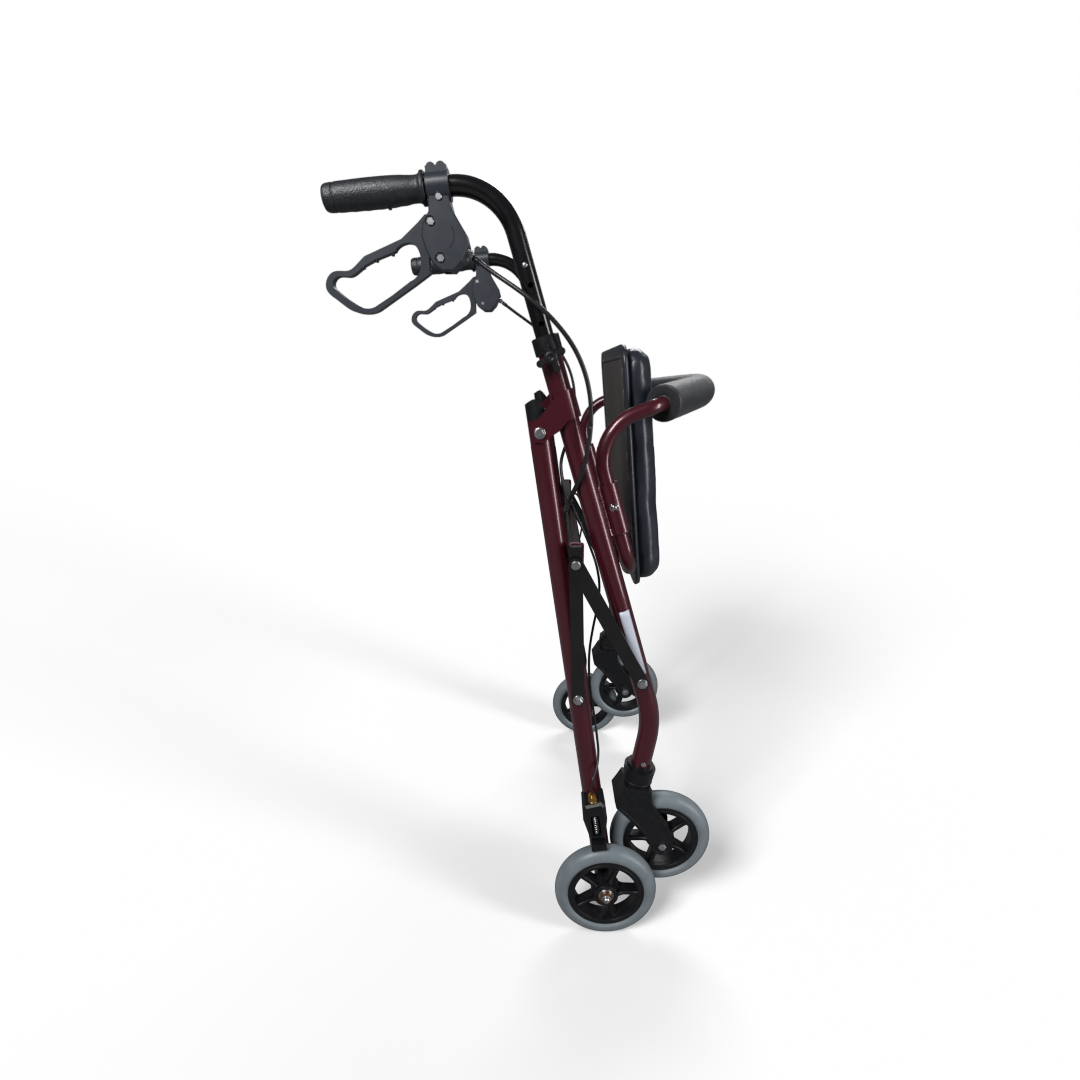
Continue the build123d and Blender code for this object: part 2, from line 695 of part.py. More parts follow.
def lever_bracket(side):
    """Clamp band on the handlebar with the brake lever's housing hanging from it."""
    band = along(grip_end, handle_dir, CLAMP_START)
    turned = side_plane(side * FRAME_Y, band, HANDLE_TILT)
    mid = CLAMP_LENGTH / 2
    with BuildPart() as bracket:
        with BuildSketch(side_plane(side * FRAME_Y)):
            with BuildLine():
                Polyline(
                    (-125, 262), (-102, 262), (-99, 249), (-92, 237), (-84, 224), (-81, 212), (-89, 194),
                    (-99, 184), (-112, 184), (-123, 192), (-130, 206), (-134, 220), (-133, 232), (-125, 246),
                    (-125, 262),
                )
            make_face()
        extrude(amount=HOUSE_HALF, both=True)
        chamfer(bracket.faces().filter_by(Axis.Y).edges(), 1.5)
        with BuildSketch(axis_plane(band, side * FRAME_Y, handle_dir)):
            Circle(16.6)
        extrude(amount=CLAMP_LENGTH)
        with BuildSketch(turned):
            with Locations((mid, 14)):
                Rectangle(CLAMP_LENGTH - 2, 10)
            with Locations((mid - 5.6, 17), (mid + 5.6, 17)):
                Circle(5.4)
        extrude(amount=11, both=True)
        with BuildSketch(axis_plane(band, side * FRAME_Y, handle_dir)):
            Circle(POST_R + 0.02)
        extrude(amount=CLAMP_LENGTH, mode=Mode.SUBTRACT)
        with BuildSketch(side_plane(side * FRAME_Y)):
            with BuildLine():
                Polyline((-150, 252), (-104, 252), (-104, 180), (-150, 180), (-150, 252))
            make_face()
        extrude(amount=LEVER_HALF + 0.5, both=True, mode=Mode.SUBTRACT)
        with BuildSketch(side_plane(side * (FRAME_Y + HOUSE_HALF), clamp_screw)):
            Circle(2.0)
        extrude(amount=5, both=True, mode=Mode.SUBTRACT)
        for at, radius in ((LEVER_PIVOT, 3.0), (BOLT_LOW, 2.5)):
            with BuildSketch(side_plane(side * FRAME_Y, at)):
                Circle(radius)
            extrude(amount=HOUSE_HALF + 1, both=True, mode=Mode.SUBTRACT)
        with BuildSketch(side_plane(side * (FRAME_Y + HOUSE_HALF))):
            with Locations(LEVER_PIVOT, BOLT_LOW):
                Circle(6)
        extrude(amount=1.6, both=True, mode=Mode.SUBTRACT)
        with BuildSketch(axis_plane((-96.6, 215.7), side * FRAME_Y, CABLE_DIR)):
            Circle(3.2)
        extrude(amount=30, mode=Mode.SUBTRACT)
    return bracket


BOLT_LOW = (-113.5, 197.5)
CABLE_DIR = (cos(radians(39.4)), -sin(radians(39.4)))
ferrule_out = (-78.0, 200.4)


def handle_screws(side):
    """The lever's pivot pin, the lower housing bolt and the clamp screw."""
    face = FRAME_Y + HOUSE_HALF - 1.6
    far = FRAME_Y - HOUSE_HALF
    return [
        bolt(far, face, LEVER_PIVOT, 2.98, 4.6, 2.6, side),
        bolt(far, face, BOLT_LOW, 2.48, 4.6, 2.6, side),
        bolt(FRAME_Y + 9.5, FRAME_Y + HOUSE_HALF + 0.1, clamp_screw, 1.98, 3.6, 2.0, side, 24),
    ]


def cable_ferrule(side):
    """Chromed cable end that screws into the front of the lever housing."""
    back = (-91.0, 211.1)
    length = link_length(back, ferrule_out)
    with BuildPart() as ferrule:
        with BuildSketch(axis_plane(back, side * FRAME_Y, CABLE_DIR)):
            Circle(3.18)
        extrude(amount=length - 2)
        with BuildSketch(axis_plane(along(ferrule_out, CABLE_DIR, -5.3), side * FRAME_Y, CABLE_DIR)):
            Circle(4.4)
        extrude(amount=3.3)
        with BuildSketch(axis_plane(along(ferrule_out, CABLE_DIR, -2), side * FRAME_Y, CABLE_DIR)):
            Circle(3.4)
        extrude(amount=1.9)
    return ferrule


def brake_lever(side):
    """Loop lever: a closed hand loop behind a hub on the pivot pin."""
    with BuildPart() as lever:
        with BuildSketch(side_plane(side * FRAME_Y)):
            with BuildLine():
                Polyline((-203, 201), (-181, 210), (-159, 219), (-139, 236), (-131, 244), (-120, 246))
                Polyline(
                    (-120, 246), (-112, 238), (-114, 226), (-128, 212), (-128, 182), (-146, 170), (-190, 142),
                )
                Spline(
                    (-190, 142), (-208, 138.5), (-222, 142), (-239, 154), (-250, 165), (-248, 178),
                    (-239, 185), (-222, 186), (-213, 192), (-203, 201),
                )
            make_face()
            with BuildLine():
                Polyline((-204, 191), (-190.5, 197.5), (-167, 206))
                Spline((-167, 206), (-157, 214), (-146, 214), (-138, 201), (-139, 186), (-151, 174))
                Polyline((-151, 174), (-173, 159), (-194, 146.5))
                Spline((-194, 146.5), (-208, 145), (-219, 150), (-237, 163), (-242.5, 171), (-238, 178.5),
                       (-222, 179.5), (-213, 184), (-204, 191))
            make_face(mode=Mode.SUBTRACT)
            with Locations(LEVER_PIVOT):
                Circle(3.0 + RUN, mode=Mode.SUBTRACT)
        extrude(amount=LEVER_HALF, both=True)
    return lever


def post_button(side):
    """Snap button showing in the post's top hole."""
    at = along(front_top, front_dir, -29 - 3 * HOLE_PITCH)
    return button(side * (FRAME_Y + 4), side * (FRAME_Y + POST_R + 1.0), at, 3.1, side)


def button(start_y, face_y, at, radius, side):
    """Spring-loaded snap button with a domed tip."""
    with BuildPart() as pin:
        with BuildSketch(Plane(origin=spot(at[0], at[1], start_y), x_dir=(1, 0, 0), z_dir=(0, side, 0))):
            Circle(radius)
        extrude(amount=abs(face_y - start_y) + 2)
        fillet(pin.faces().sort_by(Axis.Y)[-1 if side > 0 else 0].edges(), 1.8)
    return pin


def backrest_button(side):
    """Snap button that holds the hoop in its sleeve."""
    at = (socket_x(-95), -95)
    return button(side * (SOCKET_Y + 2.5), side * (SOCKET_Y + SOCKET_R + 1.4), at, 3.3, side)


def height_knob(side):
    """Four-armed star knob with a stud that stops short of the post."""
    at = along(front_top, front_dir, 11)
    face = FRAME_Y + TUBE_R + 3.6
    with BuildPart() as knob:
        with BuildSketch(Plane(origin=spot(at[0], at[1], side * face), x_dir=(1, 0, 0), z_dir=(0, side, 0))):
            Circle(8.5)
            with PolarLocations(14.5, 4, start_angle=30):
                Circle(4.4)
            with PolarLocations(7, 4, start_angle=30):
                Rectangle(14, 7)
        extrude(amount=12)
        chamfer(knob.faces().sort_by(Axis.Y)[-1 if side > 0 else 0].edges(), 1.0)
        tip = spot(at[0], at[1], side * (FRAME_Y + POST_R + 0.6))
        with BuildSketch(Plane(origin=tip, x_dir=(1, 0, 0), z_dir=(0, side, 0))):
            Circle(3.2)
        extrude(amount=face - FRAME_Y - POST_R + 1)
        nut = spot(at[0], at[1], side * (face - 3))
        with BuildSketch(Plane(origin=nut, x_dir=(1, 0, 0), z_dir=(0, side, 0))):
            Circle(4.6)
        extrude(amount=4)
    return knob


# -------------------------------------------------------------------- casters

def caster_plane(y):
    """Side plane at the foot of the front tube with local Y up the stem."""
    return side_plane(y, stem_end, -STEM_RAKE)


def caster_fork(side):
    """Moulded fork: a deep crown over the tyre and two blades trailing to the axle."""
    y = side * FRAME_Y
    with BuildPart() as fork:
        with BuildSketch(caster_plane(y)):
            with BuildLine():
                Polyline(
                    (19, -24.6), (-20, -24.6), (-25, -38), (-30, -50), (-25, -62), (-3, -78), (25, -101),
                    (37.5, -116),
                )
                ThreePointArc((37.5, -116), (56, -131.3), (70.8, -116))
                Polyline((70.8, -116), (66, -95), (53, -76), (25, -46), (19, -24.6))
            make_face()
        extrude(amount=23, both=True)
        with BuildSketch(caster_plane(y)):
            with Locations((CASTER_TRAIL, -CASTER_DROP)):
                Circle(WHEEL_R + 5)
        extrude(amount=18, both=True, mode=Mode.SUBTRACT)
        with BuildSketch(caster_plane(y)):
            with Locations((CASTER_TRAIL, -CASTER_DROP)):
                Circle(AXLE_R)
        extrude(amount=25, both=True, mode=Mode.SUBTRACT)
        with BuildSketch(axis_plane(stem_end, y, stem_dir)):
            Circle(6)
        extrude(amount=60, mode=Mode.SUBTRACT)
    return fork


def caster_hardware(side):
    """Stem, and the axle bolt with its nut."""
    up = (-stem_dir[0], -stem_dir[1])
    y = side * FRAME_Y
    stem = extrude(axis_plane(along(stem_end, up, -54), y, up) * Circle(5.99), amount=82)
    inner, outer = FRAME_Y - 23, FRAME_Y + 23
    return [
        stem,
        bolt(inner, outer, caster_axle, AXLE_R - 0.01, 6.0, 5, side),
        ring(inner - 5.5, inner, caster_axle, 7, AXLE_R - 1, side),
        ring(FRAME_Y + 15.4, FRAME_Y + 17.9, caster_axle, 6.5, AXLE_R, side),
        ring(FRAME_Y - 17.9, FRAME_Y - 15.4, caster_axle, 6.5, AXLE_R, side),
    ]


# --------------------------------------------------------------------- wheels

def wheel_hub(at, y, phase):
    """Five-spoke moulded hub with a ball bearing pressed into each end."""
    half = 15.0
    with BuildPart() as hub:
        with BuildSketch(side_plane(y, at)):
            Circle(TYRE_SEAT_R)
            Circle(47, mode=Mode.SUBTRACT)
        extrude(amount=11.5, both=True)
        with BuildSketch(side_plane(y, at)):
            Circle(48)
            Circle(46.5, mode=Mode.SUBTRACT)
            Circle(21)
            with PolarLocations(34, 5, start_angle=phase):
                Rectangle(30, 9.5)
        extrude(amount=6, both=True)
        with BuildSketch(side_plane(y, at)):
            Circle(17.5)
        extrude(amount=half, both=True)
        with BuildSketch(side_plane(y, at)):
            Circle(BEARING_R)
        extrude(amount=half, both=True, mode=Mode.SUBTRACT)
        with BuildSketch(side_plane(y, at)):
            Circle(BEARING_R)
            Circle(9, mode=Mode.SUBTRACT)
        extrude(amount=half - BEARING_W, both=True)
    bearings = []
    for end in (-half, half - BEARING_W):
        plane = Plane(origin=spot(at[0], at[1], y + end), x_dir=(1, 0, 0), z_dir=(0, 1, 0))
        bearings.append(extrude(plane * (Circle(BEARING_R - 0.01) - Circle(AXLE_R + RUN)), amount=BEARING_W))
    return gather([hub.part, *bearings])


def tyre(at, y):
    """Solid grey tyre with a rounded tread."""
    plane = side_plane(y, at)
    section = Plane(origin=plane.origin, x_dir=(1, 0, 0), z_dir=(0, 0, 1))
    with BuildPart() as ring_tyre:
        with BuildSketch(section):
            with BuildLine():
                inner = TYRE_SEAT_R + 0.02
                Polyline((inner, -11.5), (inner, 11.5), (TYRE_SEAT_R + 3, TYRE_HALF))
                Spline(
                    (TYRE_SEAT_R + 3, TYRE_HALF), (67, 13.2), (73, 8), (WHEEL_R, 0), (73, -8), (67, -13.2),
                    (TYRE_SEAT_R + 3, -TYRE_HALF),
                )
                Line((TYRE_SEAT_R + 3, -TYRE_HALF), (TYRE_SEAT_R + 0.02, -11.5))
            make_face()
        revolve(axis=Axis(plane.origin, (0, 1, 0)))
    return ring_tyre


# --------------------------------------------------------------------- brakes

def brake_shoe(side):
    """Pull rod with the shoe that presses on the tyre."""
    up = (-leg_dir[0], -leg_dir[1])
    with BuildPart() as shoe:
        with BuildSketch(leg_plane(side * 247)):
            with Locations((0, 82)):
                RectangleRounded(22, 13, 2.5)
        extrude(amount=side * -22)
        with BuildSketch(side_plane(side * 240, rear_axle)):
            Circle(WHEEL_R + SHOE_GAP)
        extrude(amount=side * -40, mode=Mode.SUBTRACT)
        with BuildSketch(axis_plane(along(rear_axle, leg_dir, -86), side * ROD_Y, up)):
            Circle(3)
        extrude(amount=43)
        with BuildSketch(axis_plane(along(rear_axle, leg_dir, -127), side * ROD_Y, up)):
            Circle(5.0)
        extrude(amount=2)
    return shoe


def brake_spring(side):
    """Return spring round the pull rod, as its envelope sleeve of separate turns."""
    up = (-leg_dir[0], -leg_dir[1])
    turns = 8
    pitch = 3.4
    coils = []
    for turn in range(turns):
        at = along(rear_axle, leg_dir, -100.5 - pitch * turn)
        coils.append(Plane(origin=spot(*at, side * ROD_Y), z_dir=(up[0], 0, up[1])) * Torus(4.7, 0.85))
    return gather(coils)


# --------------------------------------------------------------------- cables

def cable(points, radius, label):
    """Cable tube of straight runs and arcs, each arc as large as its runs allow."""
    radii = []
    for before, corner, after in zip(points, points[1:], points[2:]):
        run_in, run_out = corner - before, after - corner
        turn = radians(run_in.get_angle(run_out))
        radii.append(0.45 * min(run_in.length, run_out.length) / (sin(turn / 2) / cos(turn / 2)))
    with BuildPart() as tube:
        with BuildLine() as path:
            FilletPolyline(*points, radius=radii)
        with BuildSketch(Plane(origin=path.line @ 0, z_dir=path.line % 0)):
            Circle(radius)
        sweep(path=path.line)
    length = path.wires()[0].length
    ratio = tube.part.volume / (pi * radius * radius * length)
    print(label, "length", round(length, 1), "volume ratio", round(ratio, 4))
    print("  arcs", *(round(r) for r in radii), "least in diameters", round(min(radii) / radius / 2, 1))
    return tube


# Side positions and half width of each point, from the ferrule to the crossbar's tie.
UPPER_ROUTE = (
    (-77.6, 200.1, 222), (-57, 185, 225), (-34, 170, 233), (-10, 153, 239.5), (16, 131, 241.5),
    (40, 102, 242), (55, 70, 242.5), (62, 36, 243), (62, 2, 243), (58, -26, 243.5), (51.5, -52, 242.5),
    (42, -76, 231), (35, -96, 207), (34.5, -111, 170), (37, -122, 128), (40, -130, 84), (42.5, -135, 42),
    (44, -137.4, 7),
)
# From the tie, under the crossbar's edge, round a slack loop and down the leg to the adjuster.
LOWER_ROUTE = (
    (49.4, -137.9, 1.2), (50.2, -137.9, 26), (53, -139, 62), (57.5, -143, 104), (62.5, -150, 146),
    (70, -163, 182), (78, -184, 201), (82, -211, 208), (79, -240, 210), (73, -270, 213.5),
    (68.5, -301, 217.5), (68.6, -336, 220.5), (73, -371, 221.6), (78.4, -406, 222.1), (83.4, -441, 222.6),
    (85.5, -462, 225.5), (82, -480, 239), (73.2, -489, 252.5), (74.4, -508.3, 254),
)


def route(points, side):
    return [spot(x, z, side * y) for x, z, y in points]


# ---------------------------------------------------------------------- write

def both(make):
    """The same piece on both sides of one body, as one node of two solids."""
    return gather([make(-1).part, make(1).part])


for name, side in SIDES:
    save(front_tube(side), f"front_tube_{name}")
    save(rear_leg(side), f"rear_leg_{name}")
    save(handle_tube(side), f"handle_tube_{name}")
    save(hand_grip(side), f"hand_grip_{name}")
    save(lever_bracket(side), f"lever_bracket_{name}")
    fittings = [*handle_screws(side), cable_ferrule(side).part, post_button(side).part]
    save(gather(fittings), f"handle_fittings_{name}")
    save(brake_lever(side), f"brake_lever_{name}")
    save(height_knob(side), f"height_knob_{name}")
    save(caster_fork(side), f"caster_fork_{name}")
    save(gather(caster_hardware(side)), f"caster_hardware_{name}")
    save(brake_shoe(side), f"brake_shoe_{name}")
    save(brake_spring(side), f"brake_spring_{name}")
    save(wheel_hub(caster_axle, side * FRAME_Y, 38), f"front_hub_{name}")
    save(tyre(caster_axle, side * FRAME_Y), f"front_tyre_{name}")
    save(wheel_hub(rear_axle, side * REAR_WHEEL_Y, -2), f"rear_hub_{name}")
    save(tyre(rear_axle, side * REAR_WHEEL_Y), f"rear_tyre_{name}")
    save(cable(route(UPPER_ROUTE, side), CABLE_R, f"upper cable {name}"), f"cable_upper_{name}")
    save(cable(route(LOWER_ROUTE, side), WIRE_R, f"lower cable {name}"), f"cable_lower_{name}")

save(both(pivot_bracket), "pivot_brackets")
save(both(hoop_socket), "hoop_sockets")
save(both(post_collar), "post_collars")
save(both(stem_housing), "stem_housings")
save(seat_cross_tube(), "seat_cross_tube")
save(gather(frame_bolts), "frame_bolts")
save(rear_cross_tube(), "rear_cross_tube")
save(both(saddle_cap), "saddle_caps")
save(both(brake_housing), "brake_housings")
save(gather([adjuster(-1), adjuster(1)]), "brake_adjusters")
save(gather(rear_bolts), "rear_bolts")
save(both(front_link), "front_links")
save(gather(joint_bolts), "link_joint_bolts")
save(both(rear_link), "rear_links")
save(link_crossbar, "link_crossbar")
save(cable_tie, "cable_tie")
save(seat_board, "seat_board")
save(seat_pad, "seat_pad")
save(seat_hinges, "seat_hinges")
save(backrest_hoop, "backrest_hoop")
save(backrest_foam, "backrest_foam")
save(both(backrest_button), "backrest_buttons")
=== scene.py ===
import json
from math import cos, pi, radians, sin

import bmesh
import bpy
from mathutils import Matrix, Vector, noise

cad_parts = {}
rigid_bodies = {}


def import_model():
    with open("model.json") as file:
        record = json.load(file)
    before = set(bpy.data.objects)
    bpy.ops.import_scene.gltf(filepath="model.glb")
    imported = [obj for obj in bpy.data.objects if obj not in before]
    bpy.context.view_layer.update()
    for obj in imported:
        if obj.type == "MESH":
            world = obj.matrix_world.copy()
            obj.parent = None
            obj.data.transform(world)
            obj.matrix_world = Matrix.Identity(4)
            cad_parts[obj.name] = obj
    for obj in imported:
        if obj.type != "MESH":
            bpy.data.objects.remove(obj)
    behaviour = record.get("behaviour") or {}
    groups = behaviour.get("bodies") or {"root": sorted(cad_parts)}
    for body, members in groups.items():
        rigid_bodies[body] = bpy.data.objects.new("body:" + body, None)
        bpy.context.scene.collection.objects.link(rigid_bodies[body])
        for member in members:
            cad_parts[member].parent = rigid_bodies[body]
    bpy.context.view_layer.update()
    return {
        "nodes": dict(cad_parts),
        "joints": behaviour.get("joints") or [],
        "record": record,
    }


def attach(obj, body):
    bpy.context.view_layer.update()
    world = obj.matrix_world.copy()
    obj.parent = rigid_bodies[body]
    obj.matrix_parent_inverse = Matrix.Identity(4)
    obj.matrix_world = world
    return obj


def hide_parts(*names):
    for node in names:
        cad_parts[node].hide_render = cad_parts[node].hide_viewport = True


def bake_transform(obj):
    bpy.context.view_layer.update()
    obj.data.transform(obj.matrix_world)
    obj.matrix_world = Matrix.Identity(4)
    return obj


for leftover in list(bpy.data.objects):
    bpy.data.objects.remove(leftover)
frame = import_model()

scene = bpy.context.scene
nodes = frame["nodes"]
joints = {joint["name"]: joint for joint in frame["joints"]}
SIDES = (("right", -1), ("left", 1))
MM = 0.001

# Side positions are (x, z) in millimetres from the fold pivot, as in the part's source.
pivot = Vector(joints["fold"]["pos_m"])
post_up = Vector(joints["handle_height_right"]["axis"])
leg_down = Vector(joints["brake_shoe_right"]["axis"])
stem_up = Vector(joints["caster_swivel_right"]["axis"])
ACROSS = Vector((0, 1, 0))
FRAME_Y = 222.0
TUBE_R = 14.0


def at(x, z, y=0.0):
    """Row-frame point, in metres, of a side position."""
    return Vector((pivot.x + x * MM, y * MM, pivot.z + z * MM))


# ------------------------------------------------------------------ the view

def make_camera():
    data = bpy.data.cameras.new("photo_camera")
    data.sensor_width = 36
    data.sensor_fit = "HORIZONTAL"
    data.lens = 19.63
    camera = bpy.data.objects.new("photo_camera", data)
    camera.location = (pivot.x + 0.0117, -0.968, 0.815)
    camera.rotation_euler = (radians(90 - 15.7), 0, radians(0.9))
    scene.collection.objects.link(camera)
    scene.camera = camera


def area_light(name, location, target, size, power, colour=(1, 1, 1)):
    data = bpy.data.lights.new(name, "AREA")
    data.shape = "RECTANGLE"
    data.size, data.size_y = size
    data.energy = power
    data.color = colour
    light = bpy.data.objects.new(name, data)
    light.location = location
    light.rotation_euler = (Vector(target) - Vector(location)).to_track_quat("-Z", "Y").to_euler()
    scene.collection.objects.link(light)


def make_studio():
    scene.view_settings.view_transform = "Standard"
    world = bpy.data.worlds.new("studio")
    world.use_nodes = True
    # White behind the walker, but dim in what it lights and reflects, so that blacks stay black.
    tree = world.node_tree
    seen = tree.nodes["Background"]
    seen.inputs["Color"].default_value = (1, 1, 1, 1)
    seen.inputs["Strength"].default_value = 1.0
    lit = tree.nodes.new("ShaderNodeBackground")
    lit.inputs["Color"].default_value = (0.95, 0.97, 1.0, 1)
    lit.inputs["Strength"].default_value = 0.10
    mix = tree.nodes.new("ShaderNodeMixShader")
    tree.links.new(tree.nodes.new("ShaderNodeLightPath").outputs["Is Camera Ray"], mix.inputs["Fac"])
    tree.links.new(lit.outputs["Background"], mix.inputs[1])
    tree.links.new(seen.outputs["Background"], mix.inputs[2])
    tree.links.new(mix.outputs["Shader"], tree.nodes["World Output"].inputs["Surface"])
    scene.world = world
    area_light("key", (-1.3, -2.0, 2.4), (0, 0, 0.6), (1.1, 1.1), 80)
    area_light("fill", (2.2, -1.2, 1.1), (0, 0, 0.5), (0.5, 1.8), 34)
    area_light("rim", (0.6, 1.9, 2.2), (0, 0, 0.6), (1.6, 0.6), 22)
    mesh = bpy.data.meshes.new("floor")
    reach = 6.0
    corners = [(-reach, -reach, 0), (reach, -reach, 0), (reach, reach, 0), (-reach, reach, 0)]
    mesh.from_pydata(corners, [], [(0, 1, 2, 3)])
    floor = bpy.data.objects.new("floor", mesh)
    floor.location.z = -0.0005
    floor.is_shadow_catcher = True
    scene.collection.objects.link(floor)
    mesh.materials.append(floor_material())


# ----------------------------------------------------------------- materials

class Shader:
    """A Principled material with short calls for the procedural nodes that feed it."""

    def __init__(self, name, colour, roughness, **sockets):
        self.material = bpy.data.materials.new(name)
        self.material.use_nodes = True
        self.tree = self.material.node_tree
        self.surface = self.tree.nodes["Principled BSDF"]
        self.colour = (*colour, 1)
        self.surface.inputs["Base Color"].default_value = self.colour
        self.surface.inputs["Roughness"].default_value = roughness
        self.roughness = roughness
        for socket, value in sockets.items():
            self.surface.inputs[socket.replace("_", " ")].default_value = value
        self.place = self.tree.nodes.new("ShaderNodeTexCoord").outputs["Object"]
        self.normal = None

    def add(self, kind, **settings):
        node = self.tree.nodes.new(kind)
        for key, value in settings.items():
            if key in node.inputs:
                node.inputs[key].default_value = value
            else:
                setattr(node, key, value)
        return node

    def link(self, source, target):
        self.tree.links.new(source, target)

    def stretched(self, scale):
        mapping = self.add("ShaderNodeMapping")
        mapping.inputs["Scale"].default_value = scale
        self.link(self.place, mapping.inputs["Vector"])
        return mapping.outputs["Vector"]

    def noise(self, scale, detail=3.0, place=None):
        node = self.add("ShaderNodeTexNoise")
        node.inputs["Scale"].default_value = scale
        node.inputs["Detail"].default_value = detail
        self.link(place or self.place, node.inputs["Vector"])
        return node.outputs["Fac"]

    def cells(self, scale, feature="F1", place=None):
        node = self.add("ShaderNodeTexVoronoi", feature=feature)
        node.inputs["Scale"].default_value = scale
        self.link(place or self.place, node.inputs["Vector"])
        return node.outputs["Distance"]

    def ramp(self, source, low, high):
        """Maps 0..1 to the range low..high."""
        node = self.add("ShaderNodeMapRange")
        node.inputs["To Min"].default_value = low
        node.inputs["To Max"].default_value = high
        self.link(source, node.inputs["Value"])
        return node.outputs["Result"]

    def vary_colour(self, source, other, start=0.35, end=0.65):
        node = self.add("ShaderNodeValToRGB")
        node.color_ramp.elements[0].position = start
        node.color_ramp.elements[0].color = self.colour
        node.color_ramp.elements[1].position = end
        node.color_ramp.elements[1].color = (*other, 1)
        self.link(source, node.inputs["Fac"])
        self.link(node.outputs["Color"], self.surface.inputs["Base Color"])

    def vary_roughness(self, source, spread):
        mapped = self.ramp(source, self.roughness - spread, self.roughness + spread)
        self.link(mapped, self.surface.inputs["Roughness"])

    def bump(self, source, strength, distance):
        node = self.add("ShaderNodeBump")
        node.inputs["Strength"].default_value = strength
        node.inputs["Distance"].default_value = distance
        self.link(source, node.inputs["Height"])
        if self.normal is not None:
            self.link(self.normal, node.inputs["Normal"])
        self.normal = node.outputs["Normal"]
        self.link(self.normal, self.surface.inputs["Normal"])


def floor_material():
    """Dull grey: it only gathers the soft shadow, and keeps its own light off the walker."""
    shader = Shader("floor_grey", (0.20, 0.20, 0.20), 0.9, Specular_IOR_Level=0.0)
    shader.vary_colour(shader.noise(3), (0.22, 0.22, 0.22))
    return shader.material


def frame_paint():
    """Burgundy metallic enamel under clear lacquer, with fine flake."""
    shader = Shader(
        "frame_paint", (0.052, 0.0036, 0.0100), 0.33, Metallic=0.30, Coat_Weight=0.6, Coat_Roughness=0.07
    )
    shader.vary_colour(shader.cells(2600), (0.082, 0.0062, 0.0160), 0.25, 0.8)
    shader.vary_roughness(shader.noise(60), 0.06)
    shader.bump(shader.noise(900, 2), 0.05, 0.0002)
    shader.bump(shader.noise(35, 2), 0.06, 0.0006)
    return shader.material


def post_paint():
    shader = Shader("post_paint", (0.0022, 0.0023, 0.0030), 0.22, Coat_Weight=0.35, Coat_Roughness=0.07)
    shader.vary_roughness(shader.noise(90), 0.06)
    shader.vary_colour(shader.noise(40), (0.0045, 0.0046, 0.0056))
    shader.bump(shader.noise(500, 3), 0.05, 0.0002)
    return shader.material


def black_plastic():
    """Nylon moulding with a fine spark-eroded grain."""
    shader = Shader("black_plastic", (0.0045, 0.0048, 0.006), 0.42, Specular_IOR_Level=0.35)
    shader.vary_colour(shader.noise(120, 4), (0.008, 0.0085, 0.0105))
    shader.vary_roughness(shader.noise(700), 0.08)
    shader.bump(shader.noise(1400, 4), 0.16, 0.0003)
    return shader.material


def lever_plastic():
    shader = Shader("lever_plastic", (0.019, 0.023, 0.031), 0.34, Coat_Weight=0.25, Coat_Roughness=0.2)
    shader.vary_colour(shader.noise(60, 4), (0.026, 0.031, 0.041))
    shader.vary_roughness(shader.noise(500), 0.06)
    shader.bump(shader.noise(1100, 3), 0.08, 0.0002)
    return shader.material


def grip_rubber():
    """Soft grip moulded with a leather grain of raised cells."""
    shader = Shader("grip_rubber", (0.0105, 0.0115, 0.0150), 0.42, Specular_IOR_Level=0.6)
    shader.vary_colour(shader.noise(200, 4), (0.019, 0.021, 0.027))
    shader.vary_roughness(shader.cells(420), 0.10)
    shader.bump(shader.cells(420, "DISTANCE_TO_EDGE"), 0.55, 0.0009)
    shader.bump(shader.noise(1500, 3), 0.15, 0.0003)
    return shader.material


def tyre_grey():
    """Grey polyurethane, satin, with roughness varying at random."""
    shader = Shader("tyre_grey", (0.150, 0.180, 0.200), 0.42, Sheen_Weight=0.10)
    shader.vary_colour(shader.noise(45, 5), (0.185, 0.218, 0.240))
    shader.vary_roughness(shader.noise(180, 4), 0.09)
    shader.bump(shader.noise(900, 4), 0.14, 0.0003)
    return shader.material


def vinyl():
    """Dark blue-black upholstery vinyl with a pebbled grain."""
    shader = Shader("vinyl", (0.0130, 0.0160, 0.0250), 0.34, Coat_Weight=0.25, Coat_Roughness=0.3)
    shader.vary_colour(shader.noise(30, 4), (0.020, 0.024, 0.036))
    shader.vary_roughness(shader.noise(260, 4), 0.09)
    shader.bump(shader.cells(520, "DISTANCE_TO_EDGE"), 0.28, 0.0007)
    shader.bump(shader.noise(1300, 3), 0.12, 0.0003)
    shader.bump(shader.noise(14, 3), 0.25, 0.004)
    return shader.material


def seat_board():
    """Grey-brown pressed board, faintly fibrous."""
    shader = Shader("seat_board", (0.062, 0.058, 0.055), 0.78)
    fibres = shader.stretched((240, 900, 240))
    shader.vary_colour(shader.noise(1.0, 5, fibres), (0.088, 0.083, 0.078))
    shader.bump(shader.noise(1.0, 4, fibres), 0.3, 0.0004)
    shader.bump(shader.noise(1600, 3), 0.12, 0.0003)
    return shader.material


def foam():
    """Closed-cell foam tube with a satin skin."""
    shader = Shader("foam", (0.0150, 0.0172, 0.0220), 0.46, Sheen_Weight=0.15)
    shader.vary_colour(shader.noise(70, 5), (0.023, 0.026, 0.032))
    shader.vary_roughness(shader.noise(300, 3), 0.08)
    shader.bump(shader.cells(900), 0.25, 0.0005)
    shader.bump(shader.noise(60, 4), 0.20, 0.0015)
    return shader.material


def foam_cut():
    """The sleeve's cut ends, with open cells; the colour is painted darker in each cell's pit as shade."""
    shader = Shader("foam_cut", (0.008, 0.008, 0.009), 0.9)
    # Painted shade: darkest at each cell's centre, where the bump below sinks into a pit.
    shader.vary_colour(shader.cells(800), (0.020, 0.020, 0.022), 0.1, 0.7)
    shader.bump(shader.cells(800), 0.6, 0.0008)
    return shader.material


